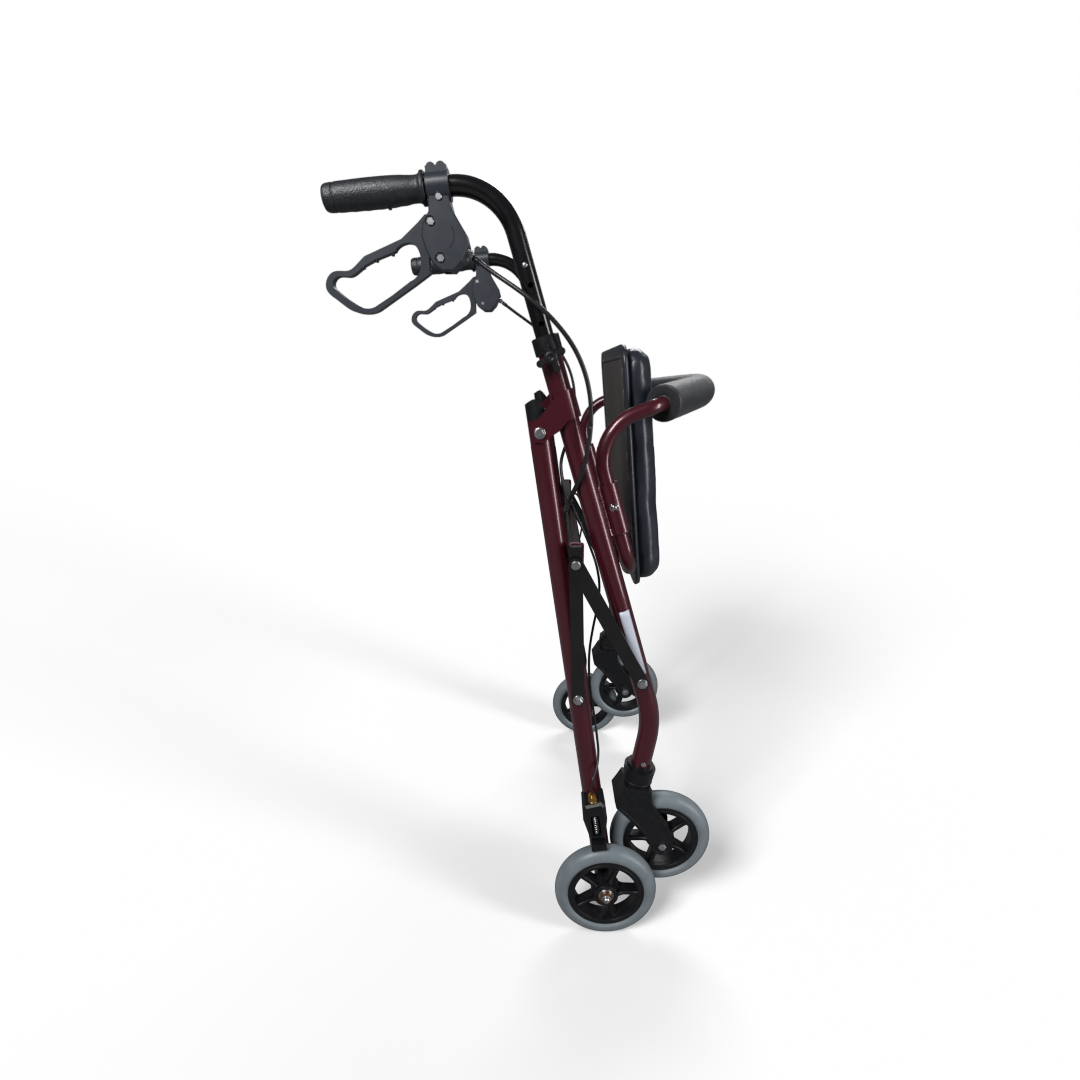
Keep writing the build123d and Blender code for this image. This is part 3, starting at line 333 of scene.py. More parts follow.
def metal(name, colour, other, roughness, scratch=(60, 60, 60)):
    shader = Shader(name, colour, roughness, Metallic=1.0)
    shader.vary_colour(shader.noise(160, 4), other)
    shader.vary_roughness(shader.noise(1.0, 4, shader.stretched(scratch)), roughness * 0.35)
    shader.bump(shader.noise(1200, 3), 0.05, 0.0001)
    return shader.material


def cable_black():
    shader = Shader("cable_black", (0.008, 0.008, 0.010), 0.34)
    shader.vary_colour(shader.noise(150, 3), (0.014, 0.014, 0.017))
    shader.bump(shader.noise(600, 3), 0.10, 0.0002)
    return shader.material


def weld_paint():
    """The same enamel over rough weld metal."""
    shader = Shader(
        "weld_paint", (0.070, 0.007, 0.017), 0.36, Metallic=0.35, Coat_Weight=0.8, Coat_Roughness=0.1
    )
    shader.vary_colour(shader.noise(300, 4), (0.120, 0.014, 0.030))
    shader.bump(shader.noise(420, 4), 0.5, 0.0010)
    return shader.material


def label_film():
    shader = Shader("label", (0.55, 0.58, 0.68), 0.35)
    shader.vary_colour(shader.noise(25, 3), (0.60, 0.63, 0.72))
    shader.bump(shader.noise(90, 2), 0.05, 0.0003)
    return shader.material


def make_materials():
    made = {
        "frame_paint": frame_paint(), "post_paint": post_paint(), "black_plastic": black_plastic(),
        "lever_plastic": lever_plastic(), "grip_rubber": grip_rubber(), "tyre_grey": tyre_grey(),
        "vinyl": vinyl(), "seat_board": seat_board(), "foam": foam(), "foam_cut": foam_cut(),
        "cable_black": cable_black(), "weld_paint": weld_paint(),
        "zinc": metal("zinc", (0.50, 0.51, 0.53), (0.62, 0.62, 0.63), 0.30),
        "chrome": metal("chrome", (0.70, 0.71, 0.73), (0.78, 0.78, 0.79), 0.10),
        "brass": metal("brass", (0.46, 0.28, 0.085), (0.55, 0.35, 0.12), 0.28),
        "copper_ring": metal("copper_ring", (0.30, 0.15, 0.07), (0.38, 0.20, 0.10), 0.32),
        "label": label_film(),
        "spring_steel": metal("spring_steel", (0.42, 0.43, 0.45), (0.52, 0.53, 0.54), 0.24),
    }
    return made


materials = make_materials()


def finish_nodes():
    """Every carried-over CAD node gets its slot's material."""
    slots = {entry["node"]: entry["material_slot"] for entry in frame["record"]["subparts"]}
    for name, obj in nodes.items():
        obj.data.materials.clear()
        obj.data.materials.append(materials[slots[name]])


# -------------------------------------------------------------- mesh helpers

def piece(name, verts, faces, material, smooth=True):
    mesh = bpy.data.meshes.new(name)
    mesh.from_pydata(verts, [], faces)
    mesh.materials.append(materials[material])
    mesh.validate()
    mesh.update()
    build = bmesh.new()
    build.from_mesh(mesh)
    bmesh.ops.recalc_face_normals(build, faces=build.faces)
    build.to_mesh(mesh)
    build.free()
    for polygon in mesh.polygons:
        polygon.use_smooth = smooth
    obj = bpy.data.objects.new(name, mesh)
    scene.collection.objects.link(obj)
    return obj


def frames_along(points, closed=False):
    """Parallel-transported pairs of normals along a line of points."""
    count = len(points)
    tangents = []
    for i in range(count):
        before = points[i - 1] if (closed or i > 0) else points[i]
        after = points[(i + 1) % count] if (closed or i < count - 1) else points[i]
        tangents.append((after - before).normalized())
    start = Vector((0, 0, 1)) if abs(tangents[0].z) < 0.9 else Vector((1, 0, 0))
    normal = (start - tangents[0] * start.dot(tangents[0])).normalized()
    pairs = []
    for tangent in tangents:
        normal = (normal - tangent * normal.dot(tangent)).normalized()
        pairs.append((normal.copy(), tangent.cross(normal)))
    return pairs


def sweep(name, points, radius, material, around=16, closed=False, wobble=None):
    """A round bar along points; radius is a number or a function of the fraction along it."""
    pairs = frames_along(points, closed)
    verts, faces = [], []
    count = len(points)
    for i, (point, (one, two)) in enumerate(zip(points, pairs)):
        size = radius(i / (count - 1)) if callable(radius) else radius
        for k in range(around):
            angle = 2 * pi * k / around
            out = one * cos(angle) + two * sin(angle)
            extra = wobble(point + out * size) if wobble else 0.0
            verts.append(point + out * (size + extra))
    rows = count if closed else count - 1
    for i in range(rows):
        for k in range(around):
            a, b = i * around + k, i * around + (k + 1) % around
            c, d = ((i + 1) % count) * around + (k + 1) % around, ((i + 1) % count) * around + k
            faces.append((a, b, c, d))
    if not closed:
        faces.append(tuple(range(around))[::-1])
        faces.append(tuple(range((count - 1) * around, count * around)))
    return piece(name, verts, faces, material)


def lathe(name, profile, origin, axis, material, around=64, ripple=None):
    """A closed ring or rod turned round an axis; profile is (distance along, radius) in mm."""
    axis = Vector(axis).normalized()
    side = Vector((0, 0, 1)) if abs(axis.z) < 0.9 else Vector((1, 0, 0))
    one = (side - axis * side.dot(axis)).normalized()
    two = axis.cross(one)
    verts, faces = [], []
    for distance, radius in profile:
        for k in range(around):
            angle = 2 * pi * k / around
            size = radius + (ripple(distance, angle) if ripple else 0.0)
            out = one * cos(angle) + two * sin(angle)
            verts.append(origin + axis * distance * MM + out * size * MM)
    count = len(profile)
    for i in range(count):
        j = (i + 1) % count
        for k in range(around):
            n = (k + 1) % around
            faces.append((i * around + k, i * around + n, j * around + n, j * around + k))
    return piece(name, verts, faces, material)


def smooth_profile(points, steps=5):
    """Catmull-Rom points through a profile's corners."""
    out = []
    for i in range(len(points) - 1):
        a, b, c = points[max(i - 1, 0)], points[i], points[i + 1]
        d = points[min(i + 2, len(points) - 1)]
        for s in range(steps):
            t = s / steps
            out.append(tuple(
                0.5 * (
                    2 * q + (r - p) * t + (2 * p - 5 * q + 4 * r - e) * t * t
                    + (3 * q - p - 3 * r + e) * t ** 3
                )
                for p, q, r, e in zip(a, b, c, d)
            ))
    out.append(points[-1])
    return out


def arc_path(points, radii, steps=14):
    """A line through points, each inner corner rounded by an arc."""
    line = [points[0]]
    for before, corner, after, radius in zip(points, points[1:], points[2:], radii):
        first, second = (before - corner).normalized(), (after - corner).normalized()
        half = first.angle(second) / 2
        reach = radius / (sin(half) / cos(half))
        centre = corner + (first + second).normalized() * (radius / sin(half))
        start = corner + first * reach - centre
        end = corner + second * reach - centre
        swept = start.angle(end)
        for s in range(steps + 1):
            t = s / steps
            line.append(centre + (start * sin((1 - t) * swept) + end * sin(t * swept)) / sin(swept))
    line.append(points[-1])
    return line


def even(points, spacing):
    """The same line with points every spacing metres."""
    out = [points[0]]
    carried = 0.0
    for a, b in zip(points, points[1:]):
        length = (b - a).length
        while carried + length >= spacing:
            step = spacing - carried
            a = a + (b - a) * (step / length)
            out.append(a)
            length = (b - a).length
            carried = 0.0
        carried += length
    if (out[-1] - points[-1]).length > spacing * 0.3:
        out.append(points[-1])
    return out


# -------------------------------------------------------------------- cables
# Points listed, as in the part's source: side x, side z and half width.
UPPER_ROUTE = (
    (-77.6, 200.1, 222), (-57, 185, 225), (-34, 170, 233), (-10, 153, 239.5), (16, 131, 241.5),
    (40, 102, 242), (55, 70, 242.5), (62, 36, 243), (62, 2, 243), (58, -26, 243.5), (51.5, -52, 242.5),
    (42, -76, 231), (35, -96, 207), (34.5, -111, 170), (37, -122, 128), (40, -130, 84), (42.5, -135, 42),
    (44, -137.4, 7),
)
LOWER_ROUTE = (
    (49.4, -137.9, 1.2), (50.2, -137.9, 26), (53, -139, 62), (57.5, -143, 104), (62.5, -150, 146),
    (70, -163, 182), (78, -184, 201), (82, -211, 208), (79, -240, 210), (73, -270, 213.5),
    (68.5, -301, 217.5), (68.6, -336, 220.5), (73, -371, 221.6), (78.4, -406, 222.1), (83.4, -441, 222.6),
    (85.5, -462, 225.5), (82, -480, 239), (73.2, -489, 252.5), (74.4, -508.3, 254),
)
CABLE_R = 2.8
WIRE_R = 1.4


def smooth_route(points):
    """Points read from one NURBS spline with the route as its control points."""
    curve = bpy.data.curves.new("route", "CURVE")
    curve.dimensions = "3D"
    curve.resolution_u = 10
    spline = curve.splines.new("NURBS")
    spline.points.add(len(points) - 1)
    for control, point in zip(spline.points, points):
        control.co = (*point, 1)
    spline.order_u = 3
    spline.use_endpoint_u = True
    holder = bpy.data.objects.new("route", curve)
    mesh = bpy.data.meshes.new_from_object(holder)
    line = [vertex.co.copy() for vertex in mesh.vertices]
    bpy.data.objects.remove(holder)
    bpy.data.meshes.remove(mesh)
    bpy.data.curves.remove(curve)
    return line


def cable_piece(name, line, radius, node):
    """One stretch of cable, swept as a tube fixed in place; it hides the CAD node it stands for."""
    tube = sweep(name, line, radius * MM, "cable_black", 14)
    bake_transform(tube)
    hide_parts(node)


def make_cables():
    for name, side in SIDES:
        upper = smooth_route([at(x, z, side * y) for x, z, y in UPPER_ROUTE])
        part = min(range(len(upper)), key=lambda i: (upper[i] - at(62, 10, side * 243)).length)
        cable_piece(
            f"brake_cable_top_{name}", upper[:part + 1], CABLE_R,
            f"cable_upper_{name}",
        )
        cable_piece(
            f"brake_cable_middle_{name}", upper[part:], CABLE_R,
            f"cable_upper_{name}",
        )
        lower = smooth_route([at(x, z, side * y) for x, z, y in LOWER_ROUTE])
        cable_piece(
            f"brake_wire_{name}", lower, WIRE_R,
            f"cable_lower_{name}",
        )
        for end, line in (("lever", upper), ("tie", upper[::-1])):
            direction = (line[1] - line[0]).normalized()
            cap = lathe(
                f"cable_cap_{end}_{name}", [(0.2, 1.0), (0.2, 3.3), (8.5, 3.3), (9.5, 2.9), (9.5, 1.0)],
                line[0], direction, "black_plastic", 24,
            )
            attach(cap, f"handle_{name}" if end == "lever" else "rear_links")


# ------------------------------------------------------------------ seat pad

SEAT_LEAN = radians(5.5)
seat_hinge = Vector(joints["seat_flip"]["pos_m"])
seat_up = Vector((-sin(SEAT_LEAN), 0, cos(SEAT_LEAN)))
seat_out = Vector((cos(SEAT_LEAN), 0, sin(SEAT_LEAN)))
SEAT_LOW, SEAT_HIGH = -40.0, 298.0
SEAT_HALF_W = 170.0
PAD_BACK, PAD_FRONT = 17.3, 47.0


def seat_point(across, up, out):
    return seat_hinge + (ACROSS * across + seat_up * up + seat_out * out) * MM


def rounded_outline(half_width, low, high, corner, steps=10):
    """Points round a rounded rectangle in the seat's plane."""
    centres = [
        (half_width - corner, high - corner, 0), (-half_width + corner, high - corner, 90),
        (-half_width + corner, low + corner, 180), (half_width - corner, low + corner, 270),
    ]
    out = []
    for across, up, start in centres:
        for s in range(steps + 1):
            angle = radians(start + 90 * s / steps)
            out.append((across + corner * cos(angle), up + corner * sin(angle)))
    return out


def pad_shape(name, inset):
    """The pad before it swells: side band, soft bevel and flat top, as loops of one outline."""
    loops = [
        (9.0, PAD_BACK), (1.2, PAD_BACK), (0.0, PAD_BACK + 1.2), (0.0, PAD_FRONT - 15), (1.0, PAD_FRONT - 13),
        (13.5, PAD_FRONT - 2.2), (17.0, PAD_FRONT - 1.0),
    ]
    verts, faces = [], []
    for shrink, out in loops:
        outline = rounded_outline(
            SEAT_HALF_W - inset - shrink, SEAT_LOW + inset + shrink, SEAT_HIGH - inset - shrink,
            max(32 - shrink, 12),
        )
        verts += [seat_point(across, up, out) for across, up in outline]
    count = len(outline)
    for i in range(len(loops) - 1):
        for k in range(count):
            n = (k + 1) % count
            faces.append((i * count + k, i * count + n, (i + 1) * count + n, (i + 1) * count + k))
    faces.append(tuple(range(count))[::-1])
    faces.append(tuple(range((len(loops) - 1) * count, len(loops) * count)))
    return piece(name, verts, faces, "vinyl")


def swell(obj, pressure, cap):
    """Inflates a closed skin with cloth, keeping each point within cap metres of its start."""
    remesh = obj.modifiers.new("remesh", "REMESH")
    remesh.mode = "VOXEL"
    remesh.voxel_size = 0.0055
    apply_modifiers(obj)
    start = [vertex.co.copy() for vertex in obj.data.vertices]
    cloth = obj.modifiers.new("cloth", "CLOTH")
    cloth.settings.use_pressure = True
    cloth.settings.uniform_pressure_force = pressure
    cloth.settings.effector_weights.gravity = 0
    cloth.settings.quality = 5
    cloth.settings.tension_stiffness = 25
    cloth.settings.compression_stiffness = 25
    for step in range(1, 21):
        scene.frame_set(step)
    apply_modifiers(obj)
    scene.frame_set(1)
    for vertex, rest in zip(obj.data.vertices, start):
        moved = vertex.co - rest
        if moved.length > cap:
            vertex.co = rest + moved.normalized() * cap


def apply_modifiers(obj):
    bpy.context.view_layer.update()
    graph = bpy.context.evaluated_depsgraph_get()
    mesh = bpy.data.meshes.new_from_object(obj.evaluated_get(graph))
    obj.modifiers.clear()
    old = obj.data
    obj.data = mesh
    bpy.data.meshes.remove(old)


def limit_to_pad(obj):
    """Keeps the pad off the board behind it and inside its own outline, and creases its band."""
    for vertex in obj.data.vertices:
        local = vertex.co - seat_hinge
        across, up, out = local.dot(ACROSS) / MM, local.dot(seat_up) / MM, local.dot(seat_out) / MM
        edge = min(SEAT_HALF_W + 1.5 - abs(across), up - SEAT_LOW + 1.5, SEAT_HIGH + 1.5 - up)
        band = PAD_FRONT - 14
        if out < band and edge < 12:
            pull = 0.9 * sin(pi * min(max((out - PAD_BACK) / (band - PAD_BACK), 0), 1))
            place = Vector((across, up, out))
            wave = noise.noise(place * 0.045) + 0.6 * noise.noise(place * 0.13)
            inward = Vector((-across, (SEAT_LOW + SEAT_HIGH) / 2 - up, 0)).normalized()
            shift = (pull * 0.6 + wave * 0.7)
            across += inward.x * shift
            up += inward.y * shift
        elif edge < 40:
            across_edge = Vector((across, up, 0)) * 0.05
            out += 0.55 * noise.noise(across_edge) + 0.35 * noise.noise(across_edge * 2.7)
        out = min(max(out, PAD_BACK), PAD_FRONT + 2.2)
        vertex.co = seat_point(across, up, out)


def make_seat():
    pad = pad_shape("seat_pad_cover", 1.6)
    swell(pad, 4.0, 0.006)
    limit_to_pad(pad)
    fine = pad.modifiers.new("fine", "SUBSURF")
    fine.levels = fine.render_levels = 1
    apply_modifiers(pad)
    for polygon in pad.data.polygons:
        polygon.use_smooth = True
    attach(pad, "seat")
    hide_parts("seat_pad")

    # The cover's edge, folded over the back of the board and tacked down.
    verts, faces = [], []
    rings = ((5.2, 16.8), (3.6, 12.0), (5.0, 10.5), (9, 10.3), (20, 10.35), (21.5, 10.7))
    for inset, out in rings:
        edge = inset - 3.4
        outline = rounded_outline(
            SEAT_HALF_W - edge, SEAT_LOW + edge, SEAT_HIGH - edge, 30 - inset * 0.7, 12
        )
        for across, up in outline:
            ripple = 0.35 * noise.noise(Vector((across, up, inset)) * 0.06) if inset > 8 else 0.0
            verts.append(seat_point(across, up, out - abs(ripple)))
    count = len(outline)
    for i in range(len(rings) - 1):
        for k in range(count):
            n = (k + 1) % count
            faces.append((i * count + k, i * count + n, (i + 1) * count + n, (i + 1) * count + k))
    fold = piece("seat_cover_fold", verts, faces, "vinyl")
    thick = fold.modifiers.new("thick", "SOLIDIFY")
    thick.thickness = 0.0009
    thick.offset = 0
    apply_modifiers(fold)
    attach(fold, "seat")

    # Staples through the folded edge.
    tacks = []
    for across in range(-140, 141, 28):
        tacks += [(across, SEAT_LOW + 15, 0), (across, SEAT_HIGH - 15, 0)]
    for up in range(10, 280, 28):
        tacks += [(-SEAT_HALF_W + 15, up, 1), (SEAT_HALF_W - 15, up, 1)]
    for index, (across, up, turned) in enumerate(tacks):
        ends = ((0, -4.5), (0, 4.5)) if turned else ((-4.5, 0), (4.5, 0))
        line = [seat_point(across + a, up + u, 9.75) for a, u in ends]
        staple = sweep(f"seat_staple_{index:02d}", even(line, 0.002), 0.45 * MM, "zinc", 6)
        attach(staple, "seat")


# ------------------------------------------------------------- backrest foam

def make_foam():
    bend = (148.0, 32.0, 206.0)
    bow = at(267.0, 50.0)
    ends = []
    for side in (-1, 1):
        turn_in = at(bend[0], bend[1], side * bend[2])
        ends.append(turn_in + (bow - turn_in).normalized() * 0.019)
    line = even(arc_path([ends[0], bow, ends[1]], [0.150], 40), 0.003)

    def girth(t):
        far = min(t, 1 - t) * (len(line) - 1) * 3.0
        rounded = 1.0 - max(0.0, 1.0 - far / 3.0) ** 2 * 0.06
        return 24.2 * MM * rounded

    def dents(point):
        return 0.00025 * noise.noise(point * 55) + 0.00012 * noise.noise(point * 160)

    skin = sweep("backrest_sleeve", line, girth, "foam", 40, wobble=dents)
    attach(skin, "front_frame")
    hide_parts("backrest_foam")
    for name, end, towards in (("right", line[0], line[1]), ("left", line[-1], line[-2])):
        inward = (towards - end).normalized()
        face = lathe(
            f"sleeve_end_{name}", [(0.6, 9.7), (-0.15, 10.4), (-0.25, 16), (-0.2, 21.8), (0.5, 22.8)], end,
            inward, "foam_cut", 48, lambda d, a: 0.2 * sin(9 * a),
        )
        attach(face, "front_frame")


# --------------------------------------------------------------------- grips

handle_dir = Vector((cos(radians(4.9)), 0, sin(radians(4.9))))
GRIP_PROFILE = (
    (0.0, 4.0), (0.0, 10.6), (0.9, 13.2), (3.2, 14.7), (6.5, 15.3), (11.5, 15.5), (12.6, 14.9), (13.8, 14.9),
    (15.0, 15.7), (28, 16.2), (48, 16.6), (70, 16.5), (86, 15.9), (97, 14.9), (104, 14.3), (108.5, 14.5),
    (111.5, 16.2), (112.4, 18.0), (114.4, 18.3), (116.4, 17.9), (116.9, 16.9), (116.9, 11.2), (5.0, 11.2),
    (5.0, 4.0),
)


def make_grips():
    for name, side in SIDES:
        end = at(-245.32, 262.02, side * FRAME_Y)

        def moulded(distance, angle):
            if not 18 < distance < 106:
                return 0.0
            fade = min(1.0, (distance - 18) / 8, (106 - distance) / 8)
            under = max(0.0, cos(angle - pi))
            return fade * (0.28 * sin(distance * 0.42) * under - 0.15 * cos(2 * angle))

        outer = smooth_profile(GRIP_PROFILE[1:21], 4)
        profile = [GRIP_PROFILE[0], *outer, *GRIP_PROFILE[21:]]
        grip = lathe(f"grip_{name}", profile, end, handle_dir, "grip_rubber", 72, moulded)
        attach(grip, f"handle_{name}")
        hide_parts(f"hand_grip_{name}")
        plug = lathe(
            f"grip_plug_{name}", [(1.0, 0.4), (0.4, 0.4), (-0.1, 2.2), (0.1, 6.2), (0.7, 7.4), (1.5, 7.4)],
            end, handle_dir, "black_plastic", 32,
        )
        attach(plug, f"handle_{name}")


def make_lever_details():
    """Groove line on the lever housing, drawn as a bead of darker black plastic that paints the groove's
    shade, finger bumps in the loop and the nub under the grip.
    """
    groove = [(-99.4, 230.3), (-97.3, 225.0), (-96.9, 221.1), (-97.3, 217.0), (-98.4, 213.4), (-102.0, 207.7)]
    for name, side in SIDES:
        line = [at(x, z, side * 235.9) for x, z in groove]
        # Painted shade: a thin bead of black plastic, darker than the housing, laid along the groove.
        groove_shade_line = sweep(
            f"housing_groove_shade_{name}", even(line, 0.0015), 0.5 * MM, "black_plastic", 8
        )
        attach(groove_shade_line, f"handle_{name}")
        for step, (x, z) in enumerate(((-206.0, 189.6), (-190.0, 197.0), (-171.0, 203.6))):
            bump = sweep(
                f"finger_bump_{step}_{name}", even([at(x, z, side * 217), at(x, z, side * 227)], 0.001),
                lambda t: 2.2 * MM * (0.3 + 0.7 * sin(pi * min(max(t, 0.0), 1.0)) ** 0.4), "lever_plastic",
                14,
            )
            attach(bump, f"lever_{name}")
        root = at(-171.0, 253.6, side * FRAME_Y)
        nub = lathe(
            f"grip_nub_{name}", [(-3.0, 0.6), (-3.0, 3.0), (1.5, 2.8), (3.4, 1.8), (3.8, 0.6)], root,
            Vector((0.085, 0, -1)).normalized(), "grip_rubber", 24,
        )
        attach(nub, f"handle_{name}")


# --------------------------------------------------------------------- welds

def weld_ring(name, centre, axis, radius, body, size=1.5, lobes=26, start=0.0, end=360.0):
    """A stacked bead round a joint."""
    axis = Vector(axis).normalized()
    side = Vector((0, 0, 1)) if abs(axis.z) < 0.9 else Vector((1, 0, 0))
    one = (side - axis * side.dot(axis)).normalized()
    two = axis.cross(one)
    steps = lobes * 6
    line = []
    for i in range(steps + 1):
        angle = radians(start + (end - start) * i / steps)
        line.append(centre + (one * cos(angle) + two * sin(angle)) * radius * MM)
    full = end - start >= 360
    if full:
        line = line[:-1]
    bead = sweep(
        name, line, lambda t: size * MM * (0.86 + 0.22 * abs(sin(pi * lobes * t))),
        "weld_paint", 8,
        closed=full,
    )
    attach(bead, body)


def weld_line(name, start, end, body, size=1.5):
    count = max(int((end - start).length / 0.0007), 12)
    line = [start + (end - start) * (i / count) for i in range(count + 1)]
    beads = (end - start).length / 0.0042
    bead = sweep(
        name, line, lambda t: size * MM * (0.80 + 0.26 * abs(sin(pi * beads * t))),
        "weld_paint", 10,
    )
    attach(bead, body)


def front_axis(z):
    return 39.5 - 0.29811 * z


def socket_axis(z):
    return 67.0 - 0.29811 * z


def make_welds():
    crossing = at(206 * sin(radians(8.33)), -206 * cos(radians(8.33)))
    for name, side in SIDES:
        for face, offset in (("outer", 6.5), ("inner", -6.5)):
            low = at(front_axis(-126) + 13.6, -124, side * (FRAME_Y - 4 + offset))
            high = at(front_axis(-74) + 13.6, -72, side * (FRAME_Y - 4 + offset))
            weld_line(f"socket_weld_{face}_{name}", low, high, "front_frame", 1.6)
        ring_at = Vector((crossing.x, side * (FRAME_Y - TUBE_R + 1.2) * MM, crossing.z))
        weld_ring(f"cross_weld_{name}", ring_at, ACROSS, 11.6, "rear_frame", 1.7)
        weld_ring(
            f"seat_tube_weld_{name}", at(socket_axis(-131), -131, side * 214), post_up, 10.4,
            "front_frame", 1.5,
        )
        link_turn = at(47.2, -154.3, side * 236.4)
        outline = [(-8.3, -13.2), (8.3, -13.2), (8.3, 13.2), (-8.3, 13.2), (-8.3, -13.2)]
        line = even([link_turn + Vector((a * MM, 0, u * MM)) for a, u in outline], 0.0012)
        bead = sweep(
            f"crossbar_weld_{name}", line,
            lambda t: 1.5 * MM * (0.82 + 0.24 * abs(sin(pi * 22 * t))), "weld_paint",
            8,
        )
        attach(bead, "rear_links")


# -------------------------------------------------------------------- wheels

def ring_profile(inner, outer, face, proud, soft=0.6):
    """Section of a raised ring on a flat face, in mm."""
    return [
        (face - 0.4, inner), (face + proud - soft * 0.5, inner), (face + proud, inner + soft),
        (face + proud, outer - soft), (face + proud - soft * 0.5, outer), (face - 0.4, outer),
    ]


def make_wheels():
    for end in ("front", "rear"):
        for name, side in SIDES:
            joint = joints[f"{end}_wheel_{name}"]
            centre = Vector(joint["pos_m"])
            body = joint["child"]
            phase = radians(38 if end == "front" else -2)
            for face, way in (("outer", 1), ("inner", -1)):
                out = ACROSS * (side * way)
                tag = f"{end}_{face}_{name}"
                seal = lathe(
                    f"bearing_seal_{tag}", ring_profile(5.6, 9.2, 15.0, 0.25, 0.3), centre, out,
                    "black_plastic", 40,
                )
                race = lathe(
                    f"bearing_race_{tag}", ring_profile(9.2, 10.9, 15.0, 0.35, 0.3), centre, out,
                    "zinc", 48,
                )
                lip = lathe(
                    f"hub_lip_{tag}", ring_profile(13.2, 17.4, 15.0, 0.7), centre, out,
                    "black_plastic", 56,
                )
                rim = lathe(
                    f"rim_lip_{tag}", ring_profile(48.4, 52.4, 11.5, 0.9), centre, out,
                    "black_plastic", 96,
                )
                for item in (seal, race, lip, rim):
                    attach(item, body)
                for spoke in range(5):
                    angle = phase + 2 * pi * spoke / 5
                    radial = Vector((cos(angle), 0, sin(angle)))
                    tangent = Vector((-sin(angle), 0, cos(angle)))
                    ridge = spoke_rib(f"spoke_rib_{tag}_{spoke}", centre, radial, tangent, out)
                    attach(ridge, body)


def spoke_rib(name, centre, radial, tangent, out):
    """A tapered rib standing on a spoke's face, between the hub and the rim."""
    verts, faces = [], []
    stations = (
        (16.8, 5.2, 14.2), (22, 3.6, 10.6), (30, 2.7, 8.6), (39, 2.9, 8.6), (45, 4.2, 9.9), (49.5, 6.2, 11.3),
    )
    for distance, half, height in stations:
        shoulder = half * 0.72
        crest = height - 0.5
        for offset, level in ((-half, 5.7), (-shoulder, crest), (0, height), (shoulder, crest), (half, 5.7)):
            verts.append(centre + (radial * distance + tangent * offset + out * level) * MM)
    for i in range(len(stations) - 1):
        for k in range(4):
            a = i * 5 + k
            faces.append((a, a + 1, a + 6, a + 5))
        faces.append((i * 5 + 4, i * 5, i * 5 + 5, i * 5 + 9))
    faces.append((4, 3, 2, 1, 0))
    last = (len(stations) - 1) * 5
    faces.append(tuple(range(last, last + 5)))
    rib = piece(name, verts, faces, "black_plastic")
    fine = rib.modifiers.new("fine", "SUBSURF")
    fine.levels = fine.render_levels = 2
    apply_modifiers(rib)
    return rib


# ------------------------------------------------------------------- casters

def make_forks():
    """Raised borders on the fork's blades, and the dust ring above its crown."""
    for name, side in SIDES:
        foot = Vector(joints[f"caster_swivel_{name}"]["pos_m"])
        forward = ACROSS.cross(stem_up)
        for face, way in (("outer", 1), ("inner", -1)):
            out = ACROSS * (side * way * 23.0 * MM)
            border = [
                (16, -28), (-17, -28), (-21.5, -38), (-26, -49.5), (-22, -59.5), (-0.5, -74.5), (27.5, -98),
            ]
            arc = [(54.2 - 13.6 * cos(pi * i / 14), -115 - 13.0 * sin(pi * i / 14)) for i in range(15)]
            back = [(63, -96.5), (50.5, -78.5), (22.5, -48), (16, -28)]
            line = [foot + (forward * a + stem_up * u) * MM + out for a, u in border + arc + back]
            ridge = sweep(
                f"fork_border_{face}_{name}", even(line, 0.0015), 0.85 * MM,
                "black_plastic", 8,
            )
            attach(ridge, f"fork_{name}")
        ring = lathe(
            f"fork_dust_ring_{name}",
            [(-24.5, 8), (-24.5, 19.0), (-25.2, 19.8), (-26.6, 19.8), (-27.4, 19.0), (-27.4, 8)],
            foot, stem_up, "black_plastic", 56,
        )
        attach(ring, f"fork_{name}")
        for step, (level, radius) in enumerate(((-3.0, 19.9), (-12.5, 20.6), (-21.5, 21.2))):
            groove = lathe(
                f"housing_band_{step}_{name}",
                [
                    (level, radius - 1.2), (level, radius), (level + 0.8, radius + 0.5),
                    (level + 1.6, radius), (level + 1.6, radius - 1.2),
                ],
                foot, stem_up, "black_plastic", 56,
            )
            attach(groove, "front_frame")


# -------------------------------------------------------------------- brakes

def make_brakes():
    for name, _ in SIDES:
        shoe = Vector(joints[f"brake_shoe_{name}"]["pos_m"])
        up = -leg_down
        start = shoe + up * 18.6 * MM
        fore = ACROSS.cross(up)
        line = []
        turns, steps = 8, 22
        for i in range(turns * steps + 1):
            angle = 2 * pi * i / steps
            rise = 3.35 * i / steps
            line.append(start + (fore * cos(angle) + ACROSS * sin(angle)) * 4.7 * MM + up * rise * MM)
        coil = sweep(f"return_spring_{name}", line, 0.8 * MM, "spring_steel", 8)
        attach(coil, f"shoe_{name}")
        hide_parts(f"brake_spring_{name}")
        knurl = lathe(
            f"adjuster_knurl_{name}",
            [(68.2, 3.2), (68.2, 5.8), (68.7, 6.3), (71.2, 6.3), (71.7, 5.8), (71.7, 3.2)],
            shoe, up, "brass", 72,
            lambda d, a: 0.28 * sin(24 * a) if 68.5 < d < 71.4 else 0.0,
        )
        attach(knurl, "rear_frame")
        washer = lathe(
            f"spring_washer_{name}", [(17.0, 3.0), (17.0, 4.3), (17.8, 4.3), (17.8, 3.0)],
            shoe, up, "zinc", 40,
        )
        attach(washer, f"shoe_{name}")


# ------------------------------------------------------------- small fittings

def hex_socket(name, centre, out, radius, body, material="zinc"):
    """Dished washer face round a bolt head."""
    cup = lathe(
        f"{name}_washer",
        [(-0.1, radius * 0.6), (0.5, radius * 1.18), (-0.4, radius * 1.3), (-0.6, radius * 0.6)],
        centre, out, material, 40,
    )
    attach(cup, body)


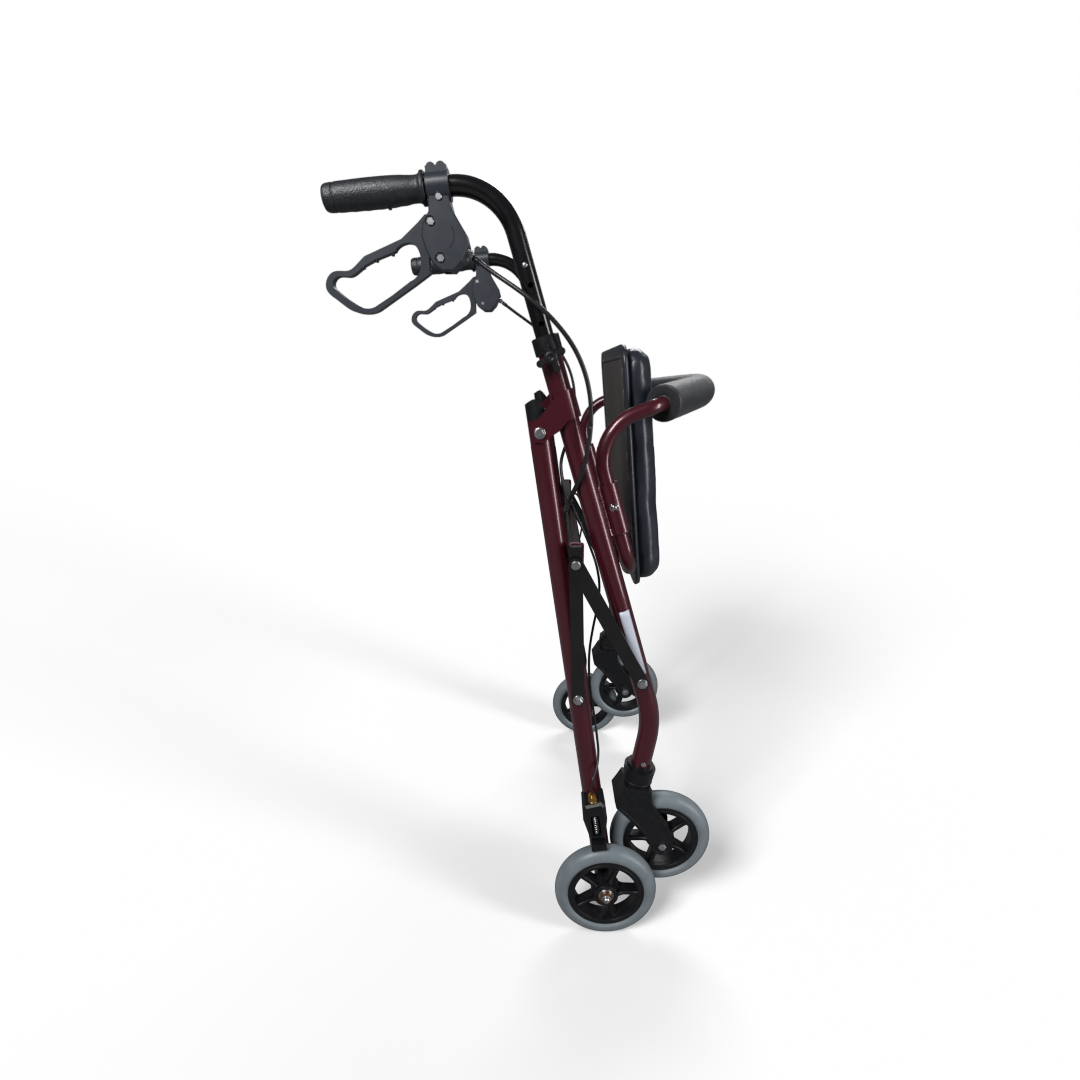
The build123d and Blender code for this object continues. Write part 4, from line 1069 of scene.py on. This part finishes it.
def make_fittings():
    for name, side in SIDES:
        out = ACROSS * side
        for label, x, z, y, radius, body in (
            ("fold_bolt", 0, 0, 239.6, 5.6, "front_frame"),
            ("front_link_bolt", 138.4, -331.7, 256.1, 5.6, "front_frame"),
            ("rear_link_bolt", 52.68, -359.7, 251.5, 5.6, "rear_frame"),
        ):
            hex_socket(f"{label}_{name}", at(x, z, side * y), out, radius, body)
        ring = lathe(
            f"socket_button_ring_{name}", ring_profile(3.9, 5.6, 0.0, 0.7, 0.4),
            at(socket_axis(-95), -95, side * 226.2), out, "chrome", 36,
        )
        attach(ring, "front_frame")
        # Indicator ring on the axle's end, copper brown under the dome nut.
        collar = lathe(
            f"axle_ring_{name}", ring_profile(4.6, 9.6, 18.0, 0.8, 0.4),
            Vector(joints[f"rear_wheel_{name}"]["pos_m"]), out, "copper_ring", 48,
        )
        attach(collar, "rear_frame")
        knob = Vector(joints[f"knob_turn_{name}"]["pos_m"])
        face = 251.6 - 240
        dish = lathe(
            f"knob_face_{name}",
            [(face - 0.3, 1.0), (face + 0.1, 1.2), (face + 0.9, 5.0), (face + 0.2, 7.2), (face - 0.4, 7.5)],
            knob, out, "black_plastic", 40,
        )
        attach(dish, f"knob_{name}")


def make_label():
    """The blank pale sticker wrapped on the outer side of the right front tube."""
    low, high = -330.0, -236.0
    verts, faces = [], []
    rows, columns = 12, 10
    for i in range(rows + 1):
        z = low + (high - low) * i / rows
        centre = at(front_axis(z), z, -FRAME_Y)
        across = ACROSS.cross(post_up)
        for k in range(columns + 1):
            angle = radians(-18 + 60 * k / columns)
            verts.append(centre + (across * sin(angle) - ACROSS * cos(angle)) * (TUBE_R + 0.12) * MM)
    for i in range(rows):
        for k in range(columns):
            a = i * (columns + 1) + k
            faces.append((a, a + 1, a + columns + 2, a + columns + 1))
    label = piece("tube_label", verts, faces, "label")
    thick = label.modifiers.new("thick", "SOLIDIFY")
    thick.thickness = 0.0002
    apply_modifiers(label)
    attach(label, "front_frame")


# ---------------------------------------------------------------------- make

make_camera()
make_studio()
finish_nodes()
make_cables()
make_seat()
make_foam()
make_grips()
make_lever_details()
make_welds()
make_wheels()
make_forks()
make_brakes()
make_fittings()
make_label()
